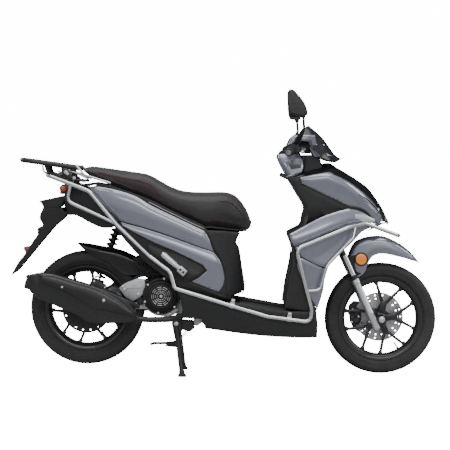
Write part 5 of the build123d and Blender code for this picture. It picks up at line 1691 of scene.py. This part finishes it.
# ---- Engine, exhaust and suspension ------------------------------------------------------------------
def make_fan_cover():
    """Cooling-fan cover: stepped housing, slotted ring grille with painted highlight arcs, hub, ribbed oil
    cap and duct.
    """
    housing = [(80, -66), (82, -70), (82, -98), (79, -102), (72, -104), (70, -112), (66, -116), (58, -118),
            (56, -126), (53, -129), (46, -129.5), (45, -127), (45, -120), (56, -112), (66, -98), (76, -94),
            (76, -66)]
    parts = [spun("housing", housing, CRANK, 96)]
    for inner, outer in ((10.5, 13.5), (18, 21), (26, 29.5), (35, 38.5)):
        ring = [(inner, -121), (inner, -125.5), (inner + 0.8, -126.3), (outer - 0.8, -126.3), (outer, -125.5),
                (outer, -121)]
        parts.append(spun("ring", ring, CRANK, 72))
    for k in range(12):
        a = radians(k * 30 + 7)
        aim = Vector((cos(a), 0, sin(a)))
        parts.append(spoke("rib", CRANK + aim * 9 + Vector((0, -123, 0)),
                CRANK + aim * 46 + Vector((0, -123, 0)),
                2.6, 4.0, 0.6))
    for k in range(6):
        a = radians(k * 60 + 20)
        lug = CRANK + Vector((cos(a) * 77, -84, sin(a) * 77))
        parts.append(turned_rod("lug", lug + Vector((0, 16, 0)), lug + Vector((0, -20, 0)),
                [(0, 8), (0.9, 8), (1, 6.5)], 20))
    duct = block("duct", [(-216, 402), (-190, 420), (-112, 424), (-112, 348), (-204, 338)], -92, -66, 6.0)
    parts.append(duct)
    place(joined(parts, "fan_cover"), "engine_unit", PLASTIC, ("fan_shroud",), "black_plastic")
    bright = [spun("hub", [(0.1, -121), (8, -121), (8.5, -125), (6, -128), (0.1, -128.5)], CRANK, 40)]
    # Short bright zinc arcs on the grille rings: painted highlights, glints on the rings.
    for inner, outer in ((14.2, 17.2), (22, 25), (31, 34), (39, 43)):
        for k in range(9):
            a0 = tau * k / 9 + 0.1
            points = [CRANK + Vector((cos(a0 + s * 0.11) * (inner + outer) / 2, -125.4,
                    sin(a0 + s * 0.11) * (inner + outer) / 2)) for s in range(6)]
            bright.append(tube("glint", points, 1.5, sides=8))
    place(joined(bright, "fan_hub_and_grille_glints"), "engine_unit", ZINC)
    screws = []
    for k in range(6):
        a = radians(k * 60 + 20)
        screws.append(bolt_head("screw", CRANK + Vector((cos(a) * 77, -104.3, sin(a) * 77)), (0, -1, 0), 4.2,
                3))
    place(joined(screws, "fan_cover_screws"), "engine_unit", ZINC)
    cap = [turned_rod("cap", (-366, -74, 334), (-370, -100, 334),
            [(0, 12), (0.2, 14), (0.3, 17), (0.85, 17), (1, 14)], 30)]
    for k in range(14):
        a = tau * k / 14
        spot = Vector((-368 + cos(a) * 17, -88, 334 + sin(a) * 17))
        cap.append(turned_rod("rib", spot + Vector((0, 8, 0)), spot + Vector((0, -8, 0)),
                [(0, 1.8), (1, 1.8)], 8))
    cap.append(block("grip", [(-378, 331), (-358, 331), (-358, 337), (-378, 337)], -108, -98, 1.5))
    place(joined(cap, "oil_filler_cap"), "engine_unit", GLOSS)


make_fan_cover()


def make_crankcase():
    """Bright cast crankcase seen round the fan cover, its ribs, sump plug and hoses."""
    parts = [block("sump", [(-352, 318), (-336, 288), (-300, 268), (-246, 262), (-214, 274), (-200, 300),
            (-220, 300), (-262, 282), (-300, 290), (-330, 322)], -86, -60, 4.0)]
    for k, x in enumerate((-322, -300, -278, -256, -234)):
        parts.append(block("rib", [(x - 2, 268 + abs(x + 276) * 0.25), (x + 2, 268 + abs(x + 276) * 0.25),
                (x + 2, 286), (x - 2, 286)], -92, -84, 0.8))
    parts.append(block("neck", [(-468, 391), (-440, 413), (-384, 436), (-350, 430), (-344, 380), (-368, 352),
            (-402, 332), (-436, 348)], -88, -72, 4.0))
    parts.append(block("rib", [(-452, 388), (-450, 394), (-360, 398), (-360, 391)], -91, -86, 1.0))
    parts.append(block("rib", [(-428, 352), (-424, 358), (-384, 424), (-390, 426)], -91, -86, 1.0))
    place(joined(parts, "crankcase_cover"), "engine_unit", ALLOY)
    plugs = [bolt_head("plug", spot, axis, r, 5) for spot, axis, r in (
        ((-300, -86.5, 276), (0, -1, 0), 6), ((-238, -86.5, 275), (0, -1, 0), 5),
        ((-446, -88.5, 398), (0, -1, 0), 6),
        ((-380, -88.5, 364), (0, -1, 0), 6), ((-372, -88.5, 422), (0, -1, 0), 5))]
    place(joined(plugs, "crankcase_bolts"), "engine_unit", ZINC)
    hoses = [tube("hose", [(-330, -40, 428), (-352, -70, 452), (-392, -76, 440), (-410, -70, 404)], 6.5, 30),
            tube("hose", [(-250, -52, 432), (-270, -84, 452), (-320, -84, 456), (-356, -60, 470)], 5.0, 30),
            tube("lead", [(-190, -60, 424), (-170, -84, 440), (-140, -80, 430), (-128, -50, 420)], 3.5, 20)]
    hoses.append(block("intake", [(-420, 512), (-384, 536), (-336, 520), (-292, 482), (-256, 450),
            (-262, 424),
            (-340, 436), (-392, 448)], -62, -30, 8.0))
    hoses += [tube("duct", [(-420 + k * 17, -70, 508 - k * 3), (-396 + k * 17, -76, 490 - k * 7),
            (-380 + k * 17, -70, 452 - k * 4)], 5.5, 14) for k in range(7)]
    place(joined(hoses, "engine_hoses"), "engine_unit", RUBBER)


make_crankcase()


def make_muffler():
    """Silencer can with a bowed heat shield, a stepped end cap, its tail pipe and the front pipe."""
    shape = traced([(-846, 450, 1), (-838, 380, 1), (-815, 352), (-748, 324), (-700, 302), (-648, 281),
            (-588, 245),
            (-480, 243), (-402, 246, 1), (-386, 262, 1), (-386, 296, 1), (-420, 332), (-458, 361),
            (-510, 386), (-563, 404), (-650, 430), (-748, 460, 1), (-806, 466, 1)], 9.0)
    can = block("can", [tuple(p) for p in shape], -170, -112, 20.0, 6)
    cap = block("cap", [(-872, 452), (-862, 442), (-852, 384), (-838, 372), (-812, 356), (-806, 380),
            (-808, 440),
            (-814, 464), (-846, 458)], -172, -118, 7.0, 4)
    tail = turned_rod("tail", (-840, -146, 412), (-872, -146, 421),
            [(0, 20), (0.2, 26), (0.9, 26), (1, 24), (0.95, 20), (0.3, 18)], 40)
    place(joined([can, cap, tail], "silencer"), "engine_unit", EXHAUST, ("muffler",), "exhaust_black", 40)

    def shield_depth(x, z):
        spine = off_line(x, z, [(-800, 436), (-606, 376), (-470, 318), (-386, 272)])
        return 184 - 7 * ease(abs(spine) / 46)

    shield = panel("heat_shield", [(-806, 460, 1), (-748, 457), (-650, 427), (-563, 401), (-470, 352),
            (-400, 300, 1),
            (-390, 272, 1), (-470, 290), (-592, 316), (-640, 352), (-700, 386),
            (-796, 424, 1)], shield_depth, wall=3.0, roll=(9.0, 5.0))
    place(shield, "engine_unit", EXHAUST, (), "exhaust_black", 40)
    front = tube("front_pipe", [(-392, -148, 262), (-330, -150, 257), (-240, -146, 258), (-190, -120, 268),
            (-150, -70, 282), (-140, -56, 326)], 13, [60, 60, 40, 14], 28)
    collar = turned_rod("collar", (-404, -148, 264), (-374, -149, 261),
            [(0, 20), (0.2, 22), (0.45, 17), (0.6, 17), (0.8, 19), (1, 15)], 32)
    place(joined([front, collar], "exhaust_pipe"), "engine_unit", EXHAUST)
    bolts = [bolt_head("bolt", spot, (0, -1, 0), 5.5, 3.5) for spot in
            ((-707, -180, 404), (-525, -183, 345), (-440, -100, 386), (-398, -104, 318))]
    place(joined(bolts, "shield_bolts"), "engine_unit", ZINC)
    bracket = block("hanger", [(-470, 334), (-446, 350), (-398, 330), (-372, 318), (-372, 304), (-430, 300),
            (-470, 308)], -112, -100, 2.0)
    place(bracket, "engine_unit", FRAME_BLACK)


make_muffler()


def make_spring():
    """Coil spring of the rear shock, wound at an even pitch."""
    foot, up = Vector((-579, 92, 386)), Vector(JOINTS["shock_travel"]["axis"])
    length = (Vector((-468, 92, 697)) - foot).length
    side = up.cross(Vector((0, 1, 0))).normalized()
    start, end, turns = 36.0, length - 40.0, 11
    points = []
    for k in range(turns * 20 + 1):
        share = k / (turns * 20)
        a = share * turns * tau
        along = start + (end - start) * share
        points.append(foot + up * along + (side * cos(a) + Vector((0, 1, 0)) * sin(a)) * 21.0)
    curve = bpy.data.curves.new("shock_coil", "CURVE")
    curve.dimensions = "3D"
    curve.bevel_depth = 4.4 * MM
    curve.bevel_resolution = 3
    curve.use_fill_caps = True
    spline = curve.splines.new("POLY")
    spline.points.add(len(points) - 1)
    for point, spot in zip(spline.points, points):
        point.co = (*(spot * MM), 1)
    coil = bpy.data.objects.new("shock_coil", curve)
    bpy.context.scene.collection.objects.link(coil)
    pick(coil)
    bpy.ops.object.convert(target="MESH")
    coil = bpy.context.object
    tidy(coil)
    place(coil, "chassis", GLOSS, ("shock_spring",), "frame_black")
    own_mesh(coil)


make_spring()


# ---- Stand, guards, carrier and pegs -------------------------------------------------------------------
def make_details():
    """Clamps on the guard tubes, stand plates and springs, carrier fittings and fasteners."""
    clamps, bolts = [], []
    for side, word in SIDES:
        for x, z, slope in ((36, 323, -14), (286, 264, -8)):
            spot = Vector((x, side * 206, z))
            run = Vector((cos(radians(slope)), 0, sin(radians(slope))))
            clamps.append(turned_rod("band", spot - run * 11, spot + run * 11,
                    [(0, 9.4), (0.02, 11), (0.98, 11), (1, 9.4)], 32))
            up = Vector((-run.z, 0, run.x))
            flap = [spot + up * 9 - run * 10, spot + up * 30 - run * 8, spot + up * 30 + run * 8,
                    spot + up * 9 + run * 10]
            clamps.append(block("flap", [(p.x, p.z) for p in flap], *sorted((side * 195, side * 199)), 1.2))
            bolts.append(bolt_head("bolt", (spot.x + up.x * 21, side * 199, spot.z + up.z * 21),
                    (0, side, 0), 5, 4))
    place(joined(clamps, "guard_clamps"), "chassis", TUBE)
    place(joined(bolts, "guard_bolts"), "chassis", ZINC)
    plates, studs = [tube("pivot", [(-211, -100, 236), (-211, 100, 236)], 11),
            tube("brace", [(-198, -104, 122), (-198, 104, 122)], 8)], []
    for side, word in SIDES:
        y = side * 96
        plates.append(turned_rod("leg", (-211, side * 90, 236), (-184, side * 118, 8),
                [(0, 12), (0.5, 11.5), (0.9, 11), (0.93, 13), (1, 13)], 32))
        plates.append(block("gusset", [(-232, 238), (-214, 262), (-188, 252), (-186, 200), (-198, 150),
                (-214, 150),
                (-224, 200)], *sorted((y - 3, y + 3)), 1.4))
        plates.append(turned_rod("eye", (-211, y - 10 * side, 236), (-211, y + 10 * side, 236),
                [(0, 17), (0.1, 18), (0.9, 18), (1, 17)], 32))
        studs.append(bolt_head("pivot", (-211, y + side * 10, 236), (0, side, 0), 8, 6))
        plates.append(block("pad", [(-202, 0.2), (-166, 0.2), (-164, 8), (-174, 16), (-196, 16), (-203, 8)],
                *sorted((side * 105, side * 131)), 3.0))
        plates.append(block("brace", [(-207, 170), (-190, 60), (-178, 60), (-192, 172)],
                *sorted((side * 104, side * 108)), 1.2))
    plates.append(tube("tang", [(-198, 100, 122), (-204, 152, 124), (-268, 158, 116), (-322, 158, 116),
            (-340, 158, 110)], 6.5, 14))
    plates.append(block("web", [(-200, 132), (-262, 122), (-268, 108), (-200, 100)], 104, 108, 1.2))
    place(joined(plates, "stand_plates"), "stand", FRAME_BLACK, ("center_stand",), "frame_black")
    place(joined(studs, "stand_pivot_bolts"), "stand", ZINC)
    turns = 13
    start, end = Vector((-150, -70, 214)), Vector((-204, -90, 150))
    run = end - start
    axis = run.normalized()
    side_way = axis.cross(Vector((0, 1, 0))).normalized()
    other = axis.cross(side_way)
    coil = [start + run * (k / (turns * 10))
            + (side_way * cos(k / 10 * tau) + other * sin(k / 10 * tau)) * 6.5
            for k in range(turns * 10 + 1)]
    spring = tube("stand_spring", coil, 1.5, 1.0, 8)
    place(spring, "engine_unit", ZINC)
    box = [block("coil_box", [(-190, 250), (-136, 246), (-128, 214), (-150, 196), (-186, 206)], -92, -46,
            4.0)]
    place(joined(box, "stand_stop_bracket"), "engine_unit", FRAME_BLACK)
    grey = [block("coil", [(-134, 256), (-100, 262), (-84, 246), (-116, 222), (-134, 226)], -82, -52, 3.0)]
    for k in range(5):
        grey.append(block("fin", [(-132 + k * 9, 232 + k), (-129 + k * 9, 232 + k), (-122 + k * 9, 262),
                (-125 + k * 9, 262)],
                -84, -80, 0.6))
    place(joined(grey, "rectifier"), "engine_unit", ALLOY)
    for side, word in SIDES:
        root, out = Vector((-176, side * 188, 470)), Vector((-0.755, 0, 0.656))
        bar = [turned_rod("pad", root + out * 14, root + out * 124,
                [(0, 9), (0.05, 11), (0.3, 11), (0.31, 12.5), (0.9, 12.5), (1, 8)], 36)]
        for k in range(9):
            spot = root + out * (52 + k * 7.5)
            bar.append(turned_rod("rib", spot, spot + out * 3.4, [(0, 13.4), (1, 13.4)], 36))
        ends = [root + out * a + Vector((0.656, 0, 0.755)) * b for a,
                b in ((-12, -15), (26, -15), (26, 15), (-12, 15))]
        bar.append(block("clevis", [(p.x, p.z) for p in ends], *sorted((side * 180, side * 199)), 2.5))
        place(joined(bar, f"peg_bar_{word}"), f"peg_{word}", SLIDER, (f"peg_{word}",), "alloy")
        marks = [bolt_head("pin", root + out * a + Vector((0, side * 11, 0)), (0, side, 0), 4.5,
                3) for a in (0, 17)]
        place(joined(marks, f"peg_pins_{word}"), f"peg_{word}", GLOSS, (), "guard_steel")
    fittings, dark = [], []
    for side in (-1, 1):
        fittings.append(tube("hoop", [(-806, side * 66, 936), (-800, side * 66, 906), (-742, side * 66, 896),
                (-706, side * 66, 916), (-650, side * 66, 900),
                (-600, side * 70, 876)], 4.5, 14))
        dark.append(tube("stay", [(-790, side * 78, 940), (-778, side * 82, 904), (-700, side * 84, 880),
                (-612, side * 84, 866)], 6, 16))
        dark.append(block("plate", [(-724, 934), (-700, 932), (-664, 880), (-640, 868), (-676, 868),
                (-712, 890)],
                *sorted((side * 94, side * 98)), 1.2))
        fittings.append(bolt_head("bolt", (-700, side * 98, 906), (0, side, 0), 7, 5))
        fittings.append(bolt_head("bolt", (-662, side * 98, 880), (0, side, 0), 6, 5))
        fittings.append(turned_rod("spacer", (-690, side * 88, 900), (-690, side * 112, 900),
                [(0, 6), (1, 6)], 20))
    fittings.append(tube("latch", [(-742, -30, 912), (-720, -34, 900), (-684, -34, 896), (-664, -30, 902)],
            4, 10))
    place(joined(fittings, "carrier_fittings"), "chassis", ALLOY)
    place(joined(dark, "carrier_stays"), "chassis", FRAME_BLACK)


make_details()


# ---- Finishes of the pieces carried over from the frame ------------------------------------------------
CARRIED = {
    FRAME_BLACK: ("main_frame", "rear_rack", "steering_stem", "shock_body", "fuel_tank",
        "crankshaft_fan"),
    TUBE: ("crash_bar_right", "crash_bar_left", "shock_rod", "handlebar"),
    GLOSS: ("switch_housings", "ignition_lock", "starter_button", "horn_button", "signal_switch"),
    PLASTIC: ("storage_bucket", "seat_base", "battery", "air_box"),
    ALLOY: ("engine_block",),
    SLIDER: ("brake_lever_right", "brake_lever_left"),
    ZINC: ("rear_axle",),
    DISC_FRONT: ("front_disc",),
    DISC_REAR: ("rear_disc",),
}
for material, names in CARRIED.items():
    for name in names:
        NODES[name].data.materials.clear()
        NODES[name].data.materials.append(material)


# ---- Stage, lights and camera --------------------------------------------------------------------
def make_stage():
    bpy.ops.object.select_all(action="DESELECT")
    bpy.ops.mesh.primitive_plane_add(size=24.0, location=(0, 0, 0))
    floor = bpy.context.object
    floor.name = "studio_floor"
    material = bpy.data.materials.new("studio_white")
    material.use_nodes = True
    shader = material.node_tree.nodes["Principled BSDF"]
    shader.inputs["Base Color"].default_value = (0.40, 0.40, 0.40, 1)
    shader.inputs["Roughness"].default_value = 0.85
    shader.inputs["Emission Color"].default_value = (1, 1, 1, 1)
    path = material.node_tree.nodes.new("ShaderNodeLightPath")
    glow = math_node(material.node_tree, "MULTIPLY", path.outputs["Is Camera Ray"], 16.0)
    material.node_tree.links.new(glow, shader.inputs["Emission Strength"])
    floor.data.materials.append(material)


make_stage()


def soft_light(name, spot, aim, size, power, color=(1, 1, 1)):
    light = bpy.data.lights.new(name, "AREA")
    light.shape = "RECTANGLE"
    light.size, light.size_y = size
    light.energy = power
    light.color = color
    lamp = bpy.data.objects.new(name, light)
    bpy.context.scene.collection.objects.link(lamp)
    lamp.location = spot
    lamp.rotation_euler = (Vector(aim) - Vector(spot)).to_track_quat("-Z", "Y").to_euler()


soft_light("overhead_softbox", (0.0, -0.6, 4.2), (0, 0, 0.5), (4.5, 2.6), 150)
soft_light("near_fill", (0.3, -4.6, 2.6), (0, 0, 0.55), (4.0, 1.2), 60)
soft_light("rear_rim_light", (-3.2, 1.2, 2.4), (0, 0, 0.6), (1.4, 2.2), 45)
soft_light("front_rim_light", (3.4, -0.6, 2.2), (0.4, 0, 0.6), (1.2, 2.2), 45)

world = bpy.data.worlds.new("studio") if not bpy.context.scene.world else bpy.context.scene.world
bpy.context.scene.world = world
world.use_nodes = True
background = world.node_tree.nodes.get("Background")
background.inputs["Color"].default_value = (0.96, 0.97, 1.0, 1)
sight = world.node_tree.nodes.new("ShaderNodeLightPath")
backdrop = math_node(world.node_tree, "MULTIPLY", sight.outputs["Is Camera Ray"], 16.0)
sky = world.node_tree.nodes.new("ShaderNodeTexCoord")
across = world.node_tree.nodes.new("ShaderNodeSeparateXYZ")
world.node_tree.links.new(sky.outputs["Generated"], across.inputs[0])
behind = math_node(world.node_tree, "MULTIPLY", across.outputs["Y"], 0.55)
surround = math_node(world.node_tree, "MAXIMUM", math_node(world.node_tree, "SUBTRACT", 0.30, behind), 0.02)
world.node_tree.links.new(math_node(world.node_tree, "ADD", backdrop, surround),
        background.inputs["Strength"])

CAMERA_DISTANCE = 6.3
FRAME_WIDTH = 2.025
PITCH = radians(1.2)
camera_data = bpy.data.cameras.new("side_camera")
camera_data.sensor_width = 36.0
camera_data.lens = 36.0 * CAMERA_DISTANCE / FRAME_WIDTH
camera_data.shift_y = (0.6685 - 0.916 + CAMERA_DISTANCE * sin(PITCH)) / FRAME_WIDTH
camera = bpy.data.objects.new("side_camera", camera_data)
bpy.context.scene.collection.objects.link(camera)
camera.location = (0.006, -CAMERA_DISTANCE, 0.916)
camera.rotation_euler = (radians(90) - PITCH, 0, 0)
bpy.context.scene.camera = camera
